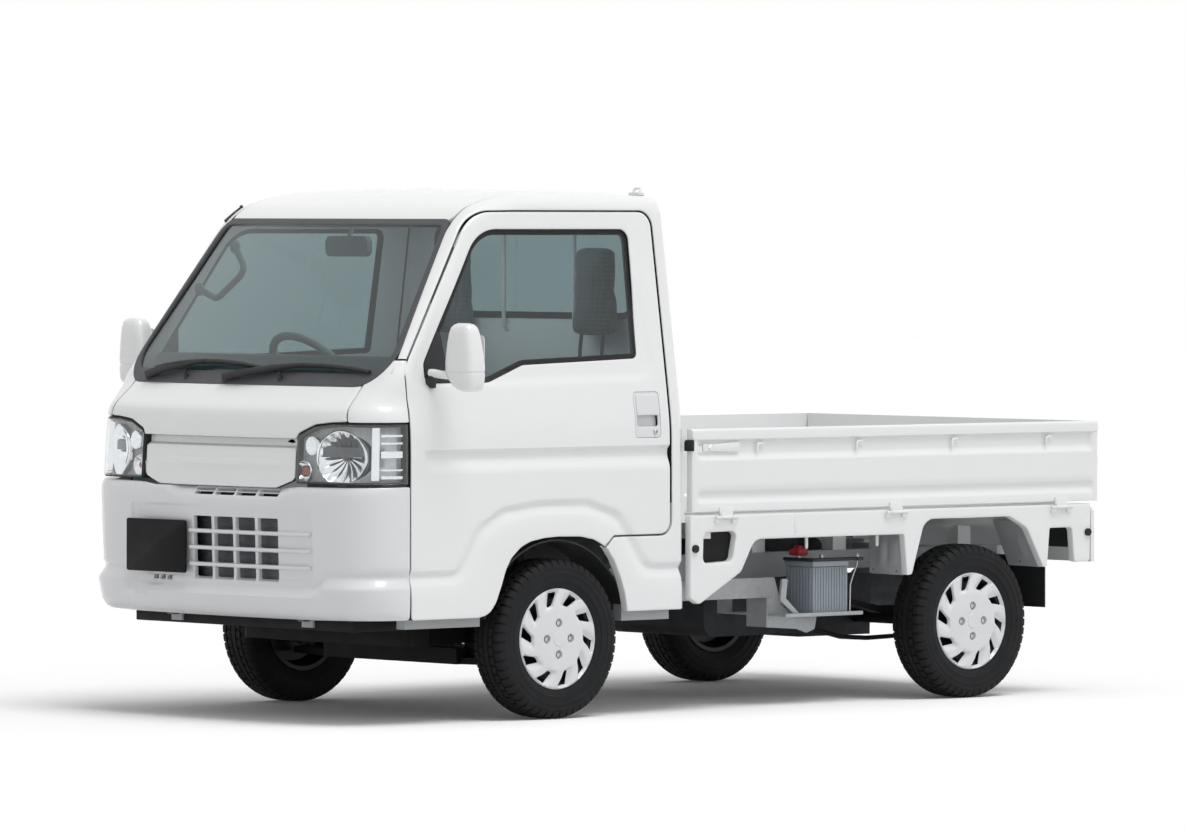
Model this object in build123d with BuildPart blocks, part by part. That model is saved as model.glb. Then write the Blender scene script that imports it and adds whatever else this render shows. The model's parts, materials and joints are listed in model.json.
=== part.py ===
from build123d import *
import os
from math import atan2, cos, radians, sin, sqrt

# Small two-seat truck with a drop-side bed, standing on its wheels.
# Millimetres. X forward, Y to the vehicle's left, Z up.
# The origin is on the ground at the middle of the length and the width.

# Overall sizes
OVERALL_LENGTH = 3395.0
OVERALL_WIDTH = 1475.0
WHEELBASE = 1900.0
FRONT_OVERHANG = 896.0
TRACK = 1290.0

# Wheels
TYRE_RADIUS = 263.0
TYRE_WIDTH = 145.0
RIM_RADIUS = 158.0
RIM_WIDTH = 118.0
TYRE_SHOULDER = 24.0

# Cab
SKIN_HALF_WIDTH = 728.0
WALL = 30.0
CAB_REAR_X = 254.0
SILL_Z = 345.0
TUMBLE_Z = 960.0
TUMBLE_SLOPE = 0.1524
BOW_RADIUS = 4000.0
FRONT_CORNER_RADIUS = 135.0
UPPER_FRONT_SETBACK = 14.0
BUMPER_TOP_Z = 757.0
COWL_X = 1591.0
COWL_Z = 1083.0
HOOD_DROP = 0.78
WINDSCREEN_RISE = 1.384
ROOF_TOP_Z = 1736.0
ROOF_CROWN_RADIUS = 12000.0
ROOF_FRONT_X = 820.0
ROOF_FRONT_RADIUS = 760.0
ROOF_REAR_DROP = 8.0
ROOF_SPLIT_Y = 560.0
ROOF_SPLIT_Z = 1664.0
FLARE = 9.5
FLOOR_SHEET = 24.0
FOOTWELL_Z = 402.0
PLATFORM_Z = 640.0

# Doors
DOOR_FRONT_X = 1452.0
DOOR_REAR_X = 321.0
DOOR_GAP = 5.0
DOOR_REAR_GAP = 9.0
DOOR_TOP_Z = 1662.0
DOOR_BARREL_RADIUS = 2.0
GLASS = 4.0
GLASS_INSET = 9.0
GLASS_FIT = 0.2

# Number plate holes in the bumper
PLATE_Y = -278.0
PLATE_HOLE_Z = 622.0
PLATE_HOLE_SPACING = 210.0
PLATE_HOLE_RADIUS = 3.5
PLATE_WIDTH = 308.0
PLATE_LOW_Z = 475.0
PLATE_HEIGHT = 174.0
PLATE_SETBACK = 7.0

# Door handles
HANDLE_X = 418.0
HANDLE_Z = 992.0
HANDLE_WIDTH = 114.0
HANDLE_HEIGHT = 152.0
HANDLE_DEPTH = 2.5
FINGER_WIDTH = 96.0
FINGER_HEIGHT = 54.0
FINGER_DEPTH = 15.0

# Pressed channels of the roof and the cab's rear wall
ROOF_CHANNELS = (-300.0, -100.0, 100.0, 300.0)
ROOF_CHANNEL_WIDTH = 96.0
ROOF_CHANNEL_DEPTH = 5.0
WALL_CHANNELS = (740.0, 850.0, 960.0, 1070.0, 1180.0)
WALL_CHANNEL_HEIGHT = 46.0

# Wheel covers and tread
COVER_SLOTS = 10
COVER_SLOT_RADIUS = 122.0
COVER_SLOT_SIZE = (44.0, 25.0)
COVER_SLOT_SLANT = 34.0
NUT_CIRCLE = 52.0
NUT_RECESS_RADIUS = 14.0
NUT_RECESS_DEPTH = 15.0
TREAD_GROOVES = (-34.0, 0.0, 34.0)
TREAD_GROOVE_WIDTH = 8.0
TREAD_GROOVE_DEPTH = 6.0

# Rope hooks and latch of the side gates, back from the gate's front end
ROPE_HOOKS = (296.0, 756.0, 1207.0, 1660.0)
HOOK_BAR = 4.0
LATCH_LEVER = (94.0, 216.0)
LATCH_BRACKET = (22.0, 88.0)

# Wheel arches
ARCH_RADIUS = 333.0
ARCH_CENTRE_RISE = 2.0
LINER_RADIUS = 312.0
LINER_SHEET = 6.0

# Bed
BED_FLOOR_Z = 655.0
BED_FRONT_X = 240.0
BED_SHEET = 24.0
GATE_BOTTOM_Z = 664.0
GATE_HEIGHT = 277.0
GATE_THICKNESS = 30.0
GATE_OUTER_Y = 735.0
GATE_FRONT_X = 226.0
GATE_END_GAP = 6.0
GATE_BARREL_RADIUS = 5.5
GATE_AXIS_OUT = 741.0
GATE_AXIS_Z = 646.0
SILL_OUTER_Y = 733.0
SILL_SHEET = 26.0

# Steering and knuckles
BALL_Y = 582.0
BALL_Z = 190.0
STRUT_TOP_Y = 490.0
STRUT_TOP_Z = 614.0
STRUT_RADIUS = 20.0
UPRIGHT_RADIUS = 22.0
KNUCKLE_ARM = 110.0
ARM_Z = 300.0
TIE_ROD_GAP = 20.0
STEERING_Y = -350.0
STEERING_RADIUS = 185.0

# Frame
RAIL_Y = 335.0
RAIL_WIDTH = 56.0
RAIL_DEPTH = 84.0

# Sizes that follow
FRONT_X = OVERALL_LENGTH / 2
FRONT_AXLE_X = FRONT_X - FRONT_OVERHANG
REAR_AXLE_X = FRONT_AXLE_X - WHEELBASE
BOW_AXIS_X = FRONT_X - BOW_RADIUS
AXLE_Z = TYRE_RADIUS
WHEEL_Y = TRACK / 2
FLARE_HALF_WIDTH = OVERALL_WIDTH / 2
GATE_TOP_Z = GATE_BOTTOM_Z + GATE_HEIGHT
GATE_INNER_Y = GATE_OUTER_Y - GATE_THICKNESS
TAIL_OUTER_X = GATE_BARREL_RADIUS + GATE_AXIS_OUT - GATE_OUTER_Y - OVERALL_LENGTH / 2
TAIL_INNER_X = TAIL_OUTER_X + GATE_THICKNESS
DOOR_AXIS_X = DOOR_FRONT_X + DOOR_GAP / 2
DOOR_AXIS_Y = SKIN_HALF_WIDTH + 0.5

os.makedirs("parts", exist_ok=True)


# Helpers for straight-sided blocks
def side_block(points, radii, low_y, high_y):
    """Side-view outline (X, Z) with rounded corners, carried across from low_y to high_y."""
    with BuildPart() as block:
        with BuildSketch(Plane.XZ.offset(-high_y)):
            with BuildLine():
                FilletPolyline(points, radius=radii, close=True)
            make_face()
        extrude(amount=high_y - low_y)
    return block.part


def front_block(points, radii, low_x, high_x):
    """Front-view outline (Y, Z) with rounded corners, carried along from low_x to high_x."""
    with BuildPart() as block:
        with BuildSketch(Plane.YZ.offset(low_x)):
            with BuildLine():
                FilletPolyline(points, radius=radii, close=True)
            make_face()
        extrude(amount=high_x - low_x)
    return block.part


def span_box(low_x, high_x, low_y, high_y, low_z, high_z):
    """Plain box between two corners."""
    with BuildPart() as block:
        with Locations(((low_x + high_x) / 2, (low_y + high_y) / 2, (low_z + high_z) / 2)):
            Box(high_x - low_x, high_y - low_y, high_z - low_z)
    return block.part


def rod(start, end, radius):
    """Round rod between two points."""
    axis_line = Vector(*end) - Vector(*start)
    with BuildPart() as round_rod:
        with BuildSketch(Plane(origin=start, z_dir=axis_line)):
            Circle(radius)
        extrude(amount=axis_line.length)
    return round_rod.part


def keep(piece, name):
    """Name a finished piece and write it out."""
    piece.label = name
    export_step(piece, f"parts/{name}.step")


# Cab form: plan outline, leaning sides, bowed screen and crowned roof
def plan_block(half_width, front_x, corner_radius, low_z, high_z):
    """Plan outline with a bowed front and round corners, from low_z up to high_z."""
    bow_centre = front_x - BOW_RADIUS
    corner_y = half_width - corner_radius
    corner_x = bow_centre + sqrt((BOW_RADIUS - corner_radius) ** 2 - corner_y ** 2)
    bow_angle = atan2(corner_y, corner_x - bow_centre)
    mid_angle = (bow_angle + radians(90)) / 2
    bow_end = (bow_centre + BOW_RADIUS * cos(bow_angle), BOW_RADIUS * sin(bow_angle))
    corner_mid = (corner_x + corner_radius * cos(mid_angle), corner_y + corner_radius * sin(mid_angle))
    with BuildPart() as block:
        with BuildSketch(Plane.XY.offset(low_z)):
            with BuildLine():
                Polyline((corner_x, half_width), (0, half_width), (0, -half_width), (corner_x, -half_width))
                ThreePointArc((corner_x, half_width), corner_mid, bow_end)
                ThreePointArc(bow_end, (front_x, 0), (bow_end[0], -bow_end[1]))
                ThreePointArc((bow_end[0], -bow_end[1]), (corner_mid[0], -corner_mid[1]), (corner_x, -half_width))
            make_face()
        extrude(amount=high_z - low_z)
    return block.part


def screen_cut(inset):
    """Space ahead of the hood and the windscreen, turned about the far bow axis."""
    top_z = 1900.0
    far_x = FRONT_X + 300
    half_sweep = 14.0
    swing = radians(half_sweep)
    top_x = COWL_X - (top_z - COWL_Z) / WINDSCREEN_RISE
    hood_end_z = COWL_Z - (far_x - COWL_X) * HOOD_DROP
    start = Plane(
        origin=(BOW_AXIS_X, 0, 0),
        x_dir=(cos(swing), -sin(swing), 0),
        z_dir=(-sin(swing), -cos(swing), 0),
    )
    points = [(top_x, top_z), (COWL_X, COWL_Z), (far_x, hood_end_z), (far_x + 200, hood_end_z), (far_x + 200, top_z)]
    with BuildPart() as block:
        with BuildSketch(start):
            with BuildLine():
                Polyline([(x - BOW_AXIS_X, z) for x, z in points], close=True)
            make_face()
            if inset > 0:
                offset(amount=inset, kind=Kind.INTERSECTION)
        revolve(axis=Axis((BOW_AXIS_X, 0, 0), (0, 0, 1)), revolution_arc=2 * half_sweep)
    return block.part


def roof_cut(inset):
    """Space above the roof: a crown across the cab, and a front that curves down to the screen."""
    top_z = ROOF_TOP_Z - inset
    reach = 820.0
    edge_z = top_z - reach ** 2 / (2 * ROOF_CROWN_RADIUS)
    bend = ROOF_FRONT_RADIUS - inset
    bend_z = top_z - bend
    mid_turn = radians(20)
    end_turn = radians(40)
    with BuildPart() as block:
        with BuildSketch(Plane.YZ.offset(-50)):
            with BuildLine():
                ThreePointArc((-reach, edge_z), (0, top_z), (reach, edge_z))
                Polyline((reach, edge_z), (reach, 2000), (-reach, 2000), (-reach, edge_z))
            make_face()
        extrude(amount=1800)
        with BuildSketch(Plane.XZ.offset(-900)):
            with BuildLine():
                bend_end = (ROOF_FRONT_X + bend * sin(end_turn), bend_z + bend * cos(end_turn))
                Line((CAB_REAR_X - 100, top_z - ROOF_REAR_DROP), (ROOF_FRONT_X, top_z))
                ThreePointArc((ROOF_FRONT_X, top_z),
                              (ROOF_FRONT_X + bend * sin(mid_turn), bend_z + bend * cos(mid_turn)), bend_end)
                Polyline(bend_end, (bend_end[0] + 300, 2000), (CAB_REAR_X - 100, 2000),
                         (CAB_REAR_X - 100, top_z - ROOF_REAR_DROP))
            make_face()
        extrude(amount=1800)
    return block.part


def lean_cut(side, inset):
    """Space outside the leaning upper side of the cab."""
    shift = inset * sqrt(1 + TUMBLE_SLOPE ** 2)
    low = (SKIN_HALF_WIDTH - shift + 300 * TUMBLE_SLOPE, TUMBLE_Z - 300)
    high = (SKIN_HALF_WIDTH - shift - (1900 - TUMBLE_Z) * TUMBLE_SLOPE, 1900)
    points = [(side * y, z) for y, z in (low, high, (1000, 1900), (1000, TUMBLE_Z - 300))]
    with BuildPart() as block:
        with BuildSketch(Plane.YZ.offset(-50)):
            with BuildLine():
                Polyline(points, close=True)
            make_face()
        extrude(amount=2000)
    return block.part


def cab_form(inset, low_z):
    """Outside form of the cab pulled in by inset, open to low_z at the bottom."""
    with BuildPart() as form:
        add(plan_block(SKIN_HALF_WIDTH - inset, FRONT_X - UPPER_FRONT_SETBACK - inset,
                       FRONT_CORNER_RADIUS - inset, low_z, 1800))
        add(span_box(-200, CAB_REAR_X + inset, -900, 900, 0, 2000), mode=Mode.SUBTRACT)
        add(screen_cut(inset), mode=Mode.SUBTRACT)
        add(roof_cut(inset), mode=Mode.SUBTRACT)
        for side in (-1, 1):
            add(lean_cut(side, inset), mode=Mode.SUBTRACT)
    return form.part


with BuildPart() as outer_form:
    add(cab_form(0, SILL_Z))
    roof_sides = outer_form.edges().filter_by(lambda e: e.center().Z > 1650 and abs(e.center().Y) > 560)
    fillet(roof_sides.filter_by(lambda e: e.length > 150), radius=44)

with BuildPart() as cab_shell:
    add(outer_form.part)
    add(cab_form(WALL, SILL_Z - 50), mode=Mode.SUBTRACT)

# Outlines shared by the panels, as (X, Z) seen from the left or (Y, Z) seen from the front
PILLAR_LOW = (DOOR_FRONT_X, 1152.0)
PILLAR_HIGH = (1103.0, DOOR_TOP_Z)
DOOR_OUTLINE = [(DOOR_FRONT_X, SILL_Z - 20), PILLAR_LOW, PILLAR_HIGH, (DOOR_REAR_X, DOOR_TOP_Z),
                (DOOR_REAR_X, 597.0), (585.0, 597.0), (640.0, 540.0), (640.0, SILL_Z - 20)]
DOOR_RADII = [0, 60, 150, 50, 42, 20, 0, 0]
WINDOW_OUTLINE = [(1368.0, 1108.0), (1368.0, 1172.0), (1085.0, 1605.0), (425.0, 1605.0),
                  (436.0, 1180.0), (940.0, 1163.0), (1095.0, 1108.0)]
WINDOW_RADII = [24, 40, 150, 36, 18, 80, 80]
SCREEN_OUTLINE = [(-680.0, 1092.0), (-566.0, 1636.0), (566.0, 1636.0), (680.0, 1092.0)]
SCREEN_RADII = [10, 40, 40, 10]
GLASS_LOW_Z = 1138.0
REAR_WINDOW = [(-500.0, 1312.0), (-470.0, 1612.0), (470.0, 1612.0), (500.0, 1312.0)]
LAMP_OUTLINE = [(387.0, 779.0), (387.0, 930.0), (455.0, 968.0), (900.0, 976.0), (900.0, 779.0)]
LAMP_RADII = [14, 20, 20, 0, 0]
GARNISH_OUTLINE = [(-376.0, 768.0), (-376.0, 902.0), (376.0, 902.0), (376.0, 768.0)]


def arch_block(low_y, high_y):
    """Opening over a front wheel, with a rounded lower front corner."""
    centre_x = FRONT_AXLE_X + 3
    centre_z = AXLE_Z + ARCH_CENTRE_RISE
    rear = (centre_x + ARCH_RADIUS * cos(radians(140)), centre_z + ARCH_RADIUS * sin(radians(140)))
    front = (centre_x + ARCH_RADIUS * cos(radians(42)), centre_z + ARCH_RADIUS * sin(radians(42)))
    with BuildPart() as block:
        with BuildSketch(Plane.XZ.offset(-high_y)):
            with BuildLine():
                ThreePointArc(rear, (centre_x, centre_z + ARCH_RADIUS), front)
                Polyline(front, (FRONT_AXLE_X + 306, 372), (FRONT_AXLE_X + 338, SILL_Z - 6),
                         (FRONT_AXLE_X + 338, 200), (FRONT_AXLE_X - 294, 200), (FRONT_AXLE_X - 294, SILL_Z), rear)
            make_face()
        extrude(amount=high_y - low_y)
    return block.part


def grown_side_block(points, radii, amount, low_y, high_y):
    """Side-view outline moved outward by amount, or inward where it is negative."""
    with BuildPart() as block:
        with BuildSketch(Plane.XZ.offset(-high_y)):
            with BuildLine():
                FilletPolyline(points, radius=radii, close=True)
            make_face()
            offset(amount=amount, kind=Kind.INTERSECTION)
        extrude(amount=high_y - low_y)
    return block.part


SIDE_LOW_Y = 540.0
SIDE_HIGH_Y = 800.0


def inner_space(inset):
    """Space inside the leaning left wall, as seen from the front."""
    foot_y = SKIN_HALF_WIDTH - inset
    top_y = foot_y - (1800 - TUMBLE_Z) * TUMBLE_SLOPE
    return front_block([(0, 200), (foot_y, 200), (foot_y, TUMBLE_Z), (top_y, 1800), (0, 1800)], [0, 0, 0, 0, 0], 200, 1700)


door_block = side_block(DOOR_OUTLINE, DOOR_RADII, SIDE_LOW_Y, SIDE_HIGH_Y)
door_hole = grown_side_block(DOOR_OUTLINE, DOOR_RADII, DOOR_GAP, SIDE_LOW_Y, SIDE_HIGH_Y) - inner_space(WALL + DOOR_GAP)
door_rear_hole = span_box(DOOR_REAR_X - DOOR_REAR_GAP, DOOR_REAR_X + 60, SIDE_LOW_Y, SIDE_HIGH_Y, 640, 1604)
window_hole = side_block(WINDOW_OUTLINE, WINDOW_RADII, SIDE_LOW_Y, SIDE_HIGH_Y)
arch_hole = arch_block(SIDE_LOW_Y, SIDE_HIGH_Y)
screen_hole = front_block(SCREEN_OUTLINE, SCREEN_RADII, 1000, 1690)
roof_block = side_block(
    [(200, ROOF_SPLIT_Z), (1080, ROOF_SPLIT_Z), (1130, 1620), (1400, 1620), (1400, 1900), (200, 1900)],
    [0, 0, 0, 0, 0, 0], -ROOF_SPLIT_Y, ROOF_SPLIT_Y)
lamp_hole = front_block(LAMP_OUTLINE, LAMP_RADII, DOOR_FRONT_X + DOOR_GAP, 1800)
garnish_hole = front_block(GARNISH_OUTLINE, [8, 8, 8, 8], 1600, 1800)
rear_wall_block = span_box(CAB_REAR_X - 5, CAB_REAR_X + WALL, -600, 600, 600, ROOF_SPLIT_Z)

# Raised flare round the wheel arch and along the foot of the cab
FLARE_OUTLINE = [(DOOR_FRONT_X - 4, SILL_Z), (DOOR_FRONT_X - 4, 482.0), (1252.0, 482.0), (1172.0, 620.0), (1050.0, 690.0),
                 (900.0, 706.0), (700.0, 706.0), (560.0, 668.0), (420.0, 482.0), (CAB_REAR_X, 482.0),
                 (CAB_REAR_X, SILL_Z)]
FLARE_RADII = [0, 0, 40, 90, 90, 60, 60, 90, 40, 0, 0]
with BuildPart() as flare_pad:
    add(side_block(FLARE_OUTLINE, FLARE_RADII, SKIN_HALF_WIDTH - 1, FLARE_HALF_WIDTH))
    pad_face = flare_pad.faces().sort_by(Axis.Y)[-1]
    rim_edges = pad_face.edges().filter_by(
        lambda e: e.center().Z > SILL_Z + 5 and CAB_REAR_X + 5 < e.center().X)
    chamfer(rim_edges, length=FLARE)

# Pressed groove along the door and the cab corner below the handle
with BuildPart() as belt_groove:
    add(side_block([(CAB_REAR_X - 20, 824), (1386, 824), (1386, 888), (CAB_REAR_X - 20, 888)], [0, 12, 12, 0],
                   SKIN_HALF_WIDTH - 9, SKIN_HALF_WIDTH + 20))

# Cab side: fender corner, hinge post, screen pillar, roof rail and rear corner
POST_X = DOOR_FRONT_X + DOOR_GAP - 0.5
POST_Y = 642.0
POST_DEPTH = 30.0
DOOR_HINGES = (560.0, 860.0)
DOOR_BARREL = 34.0
front_panel_block = front_block([(-590, 600), (-590, 976), (-640, 1200), (640, 1200), (590, 976), (590, 600)],
                                [0, 0, 0, 0, 0, 0], DOOR_FRONT_X + DOOR_GAP, 1800)
with BuildPart() as cab_side_left:
    add(cab_shell.part)
    add(flare_pad.part)
    add(belt_groove.part, mode=Mode.SUBTRACT)
    add(span_box(0, 2000, -900, SIDE_LOW_Y, 0, 2000), mode=Mode.SUBTRACT)
    for cutter in (door_hole, door_rear_hole, arch_hole, screen_hole, roof_block, lamp_hole, rear_wall_block,
                   front_panel_block):
        add(cutter, mode=Mode.SUBTRACT)
    add(span_box(DOOR_FRONT_X, 1800, 0, 800, 0, 976), mode=Mode.SUBTRACT)
    add(span_box(POST_X, POST_X + POST_DEPTH, POST_Y - 46, POST_Y, FOOTWELL_Z + 0.2, 1060))
    add(span_box(POST_X, POST_X + POST_DEPTH, POST_Y - 46, 700, 1030, 1060))
    for hinge_z in DOOR_HINGES:
        add(span_box(DOOR_AXIS_X + 0.2, POST_X + 0.3, POST_Y - 40, DOOR_AXIS_Y, hinge_z, hinge_z + DOOR_BARREL))
        add(rod((DOOR_AXIS_X, DOOR_AXIS_Y, hinge_z), (DOOR_AXIS_X, DOOR_AXIS_Y, hinge_z + DOOR_BARREL),
                DOOR_BARREL_RADIUS))
keep(cab_side_left.part, "cab_side_left")
cab_side_right = mirror(cab_side_left.part, about=Plane.XZ)
keep(cab_side_right, "cab_side_right")

with BuildPart() as roof_panel:
    add(cab_shell.part)
    add(roof_block, mode=Mode.INTERSECT)
    add(screen_hole, mode=Mode.SUBTRACT)
    under_channels = cab_form(ROOF_CHANNEL_DEPTH, SILL_Z)
    for channel_y in ROOF_CHANNELS:
        channel = span_box(CAB_REAR_X + 90, ROOF_FRONT_X + 180, channel_y - ROOF_CHANNEL_WIDTH / 2,
                           channel_y + ROOF_CHANNEL_WIDTH / 2, ROOF_SPLIT_Z + 10, ROOF_TOP_Z + 20)
        add(channel - under_channels, mode=Mode.SUBTRACT)
keep(roof_panel.part, "roof_panel")

with BuildPart() as cab_rear_wall:
    add(cab_shell.part)
    add(rear_wall_block, mode=Mode.INTERSECT)
    add(front_block(REAR_WINDOW, [30, 30, 30, 30], 200, 300), mode=Mode.SUBTRACT)
    for channel_z in WALL_CHANNELS:
        high_z = channel_z + WALL_CHANNEL_HEIGHT
        add(front_block([(-440, channel_z), (-440, high_z), (440, high_z), (440, channel_z)], [16, 16, 16, 16],
                        CAB_REAR_X - 10, CAB_REAR_X + 5), mode=Mode.SUBTRACT)
keep(cab_rear_wall.part, "cab_rear_wall")

with BuildPart() as rear_window:
    with BuildSketch(Plane.YZ.offset(CAB_REAR_X + 12)):
        with BuildLine():
            FilletPolyline(REAR_WINDOW, radius=[30, 30, 30, 30], close=True)
        make_face()
        offset(amount=-GLASS_FIT)
    extrude(amount=GLASS)
keep(rear_window.part, "rear_window")

# Windscreen and the dark cowl below it
with BuildPart() as windscreen:
    add(cab_form(3, SILL_Z))
    add(cab_form(3 + 6, SILL_Z - 50), mode=Mode.SUBTRACT)
    with BuildSketch(Plane.YZ.offset(1000)):
        with BuildLine():
            FilletPolyline(SCREEN_OUTLINE, radius=SCREEN_RADII, close=True)
        make_face()
        offset(amount=-GLASS_FIT)
    extrude(amount=690, mode=Mode.INTERSECT)
    add(span_box(0, 2000, -900, 900, 0, GLASS_LOW_Z), mode=Mode.SUBTRACT)
    add(span_box(0, 1120, -900, 900, 0, 2000), mode=Mode.SUBTRACT)
    add(roof_block, mode=Mode.SUBTRACT)
keep(windscreen.part, "windscreen")

with BuildPart() as cowl_panel:
    add(cab_form(5, SILL_Z))
    add(cab_form(5 + 14, SILL_Z - 50), mode=Mode.SUBTRACT)
    with BuildSketch(Plane.YZ.offset(1000)):
        with BuildLine():
            FilletPolyline(SCREEN_OUTLINE, radius=SCREEN_RADII, close=True)
        make_face()
        offset(amount=-GLASS_FIT)
    extrude(amount=690, mode=Mode.INTERSECT)
    add(span_box(0, 2000, -900, 900, GLASS_LOW_Z - GLASS_FIT, 2000), mode=Mode.SUBTRACT)
    add(span_box(0, 1456, -900, 900, 0, 2000), mode=Mode.SUBTRACT)
keep(cowl_panel.part, "cowl_panel")

# Wipers: a pivot, an arm and a blade bent along the bowed glass
WIPER_PIVOTS = ((-493.0, (-430.0, 140.0)), (-65.0, (30.0, 690.0)))
WIPER_PIVOT_Z = 1114.0
WIPER_PIVOT_RADIUS = 11.0
BLADE_Z = 1148.0
BLADE_RADIUS = 6.0
glass_normal = Vector(WINDSCREEN_RISE, 0, 1).normalized()


def over_glass(y, z, height):
    """Point at a height over the windscreen's face."""
    face_x = BOW_AXIS_X + sqrt((COWL_X - (z - COWL_Z) / WINDSCREEN_RISE - BOW_AXIS_X) ** 2 - y ** 2)
    return Vector(face_x, y, z) + glass_normal * height


def bent_rod(points, radius):
    """Round rod along an arc through three points."""
    with BuildPart() as bar:
        with BuildLine():
            path = ThreePointArc(*points)
        with BuildSketch(Plane(origin=path @ 0, z_dir=path % 0)):
            Circle(radius)
        sweep(path=path)
    return bar.part


with BuildPart() as wipers:
    for pivot_y, (blade_low, blade_high) in WIPER_PIVOTS:
        blade_middle = (blade_low + blade_high) / 2
        blade = [over_glass(y, BLADE_Z, BLADE_RADIUS + 3) for y in (blade_low, blade_middle, blade_high)]
        add(bent_rod(blade, BLADE_RADIUS))
        add(rod(over_glass(pivot_y, WIPER_PIVOT_Z, -8), over_glass(pivot_y, WIPER_PIVOT_Z, 18), WIPER_PIVOT_RADIUS))
        add(rod(over_glass(pivot_y, WIPER_PIVOT_Z, 12), over_glass(blade_middle, BLADE_Z, BLADE_RADIUS + 7), 6))
    add(cowl_panel.part, mode=Mode.SUBTRACT)
    add(windscreen.part, mode=Mode.SUBTRACT)
keep(wipers.part, "wipers")

# Bumper with its air openings and lower step
BAR_DEPTH = 12.0
RECESS_DEPTH = 5.0


def bumper_core(depth):
    """Bumper's upper form pulled in by depth."""
    return plan_block(SKIN_HALF_WIDTH - depth, FRONT_X - 6 - depth, FRONT_CORNER_RADIUS - 8 - depth, SILL_Z, 800)


with BuildPart() as front_bumper:
    add(plan_block(SKIN_HALF_WIDTH, FRONT_X - 6, FRONT_CORNER_RADIUS - 8, 480, 779))
    add(plan_block(FLARE_HALF_WIDTH, FRONT_X, FRONT_CORNER_RADIUS - 4, SILL_Z, 480))
    add(plan_block(SKIN_HALF_WIDTH - WALL, FRONT_X - WALL, FRONT_CORNER_RADIUS - WALL, SILL_Z - 10, 800),
        mode=Mode.SUBTRACT)
    add(span_box(-10, DOOR_FRONT_X + DOOR_GAP, -900, 900, 0, 900), mode=Mode.SUBTRACT)
    for side in (-1, 1):
        add(span_box(DOOR_FRONT_X, DOOR_FRONT_X + 20, min(side * SKIN_HALF_WIDTH, side * 800),
                     max(side * SKIN_HALF_WIDTH, side * 800), 300, 480), mode=Mode.SUBTRACT)
    add(front_block([(-400, BUMPER_TOP_Z), (-400, 900), (400, 900), (400, BUMPER_TOP_Z)], [0, 0, 0, 0], 1500, 1750),
        mode=Mode.SUBTRACT)
    add(lamp_hole, mode=Mode.SUBTRACT)
    add(mirror(lamp_hole, about=Plane.XZ), mode=Mode.SUBTRACT)
    add(front_block([(-447, 482), (-447, 699), (470, 699), (470, 482)], [0, 15, 15, 0], 1600, 1750)
        - bumper_core(RECESS_DEPTH), mode=Mode.SUBTRACT)
    for row in range(4):
        low = 458 + row * 54
        for column in range(4):
            left = -106 + column * 108
            add(front_block([(left, low), (left, low + 44), (left + 96, low + 44), (left + 96, low)], [6, 6, 6, 6],
                            1600, 1750), mode=Mode.SUBTRACT)
        add(front_block([(322, low), (322, low + 44), (456, low + 44), (456, low)], [6, 6, 6, 6], 1600, 1750)
            - bumper_core(BAR_DEPTH), mode=Mode.SUBTRACT)
    for column in range(4):
        left = -100 + column * 106
        add(front_block([(left, 737), (left, 751), (left + 92, 751), (left + 92, 737)], [5, 5, 5, 5], 1600, 1750),
            mode=Mode.SUBTRACT)
    add(span_box(FRONT_X - 46, FRONT_X - PLATE_SETBACK, PLATE_Y - PLATE_WIDTH / 2, PLATE_Y + PLATE_WIDTH / 2,
                 PLATE_LOW_Z, PLATE_LOW_Z + PLATE_HEIGHT))
    with BuildSketch(Plane.YZ.offset(1600)):
        with Locations((PLATE_Y - PLATE_HOLE_SPACING / 2, PLATE_HOLE_Z), (PLATE_Y + PLATE_HOLE_SPACING / 2, PLATE_HOLE_Z)):
            Circle(PLATE_HOLE_RADIUS)
    extrude(amount=150, mode=Mode.SUBTRACT)
keep(front_bumper.part, "front_bumper")

# Front panel between the lamps and the screen
with BuildPart() as front_panel:
    add(cab_shell.part)
    add(front_panel_block, mode=Mode.INTERSECT)
    add(span_box(0, 2000, -900, 900, 0, BUMPER_TOP_Z), mode=Mode.SUBTRACT)
    add(screen_hole, mode=Mode.SUBTRACT)
    add(lamp_hole, mode=Mode.SUBTRACT)
    add(mirror(lamp_hole, about=Plane.XZ), mode=Mode.SUBTRACT)
    add(garnish_hole, mode=Mode.SUBTRACT)
    add(front_bumper.part, mode=Mode.SUBTRACT)
keep(front_panel.part, "front_panel")

with BuildPart() as garnish_panel:
    add(cab_form(8, SILL_Z))
    add(cab_form(WALL, SILL_Z - 50), mode=Mode.SUBTRACT)
    add(garnish_hole, mode=Mode.INTERSECT)
    with Locations((FRONT_X - UPPER_FRONT_SETBACK - 8, 0, 836)):
        Box(12, 700, 8)
keep(garnish_panel.part, "garnish_panel")

# Headlamps: a bowl block and a clear cover on each side
with BuildPart() as headlamps:
    add(cab_form(12, SILL_Z))
    add(cab_form(80, SILL_Z - 50), mode=Mode.SUBTRACT)
    add(front_block(LAMP_OUTLINE, LAMP_RADII, DOOR_FRONT_X + DOOR_GAP, 1800), mode=Mode.INTERSECT)
    for bowl_y, bowl_z, bowl_radius, bowl_depth in ((560, 872, 84, 66), (428, 850, 30, 40)):
        with BuildSketch(Plane.YZ.offset(1720)):
            with Locations((bowl_y, bowl_z)):
                Circle(bowl_radius)
        extrude(amount=-(60 + bowl_depth), mode=Mode.SUBTRACT)
    mirror(about=Plane.XZ)
keep(headlamps.part, "headlamps")

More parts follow.
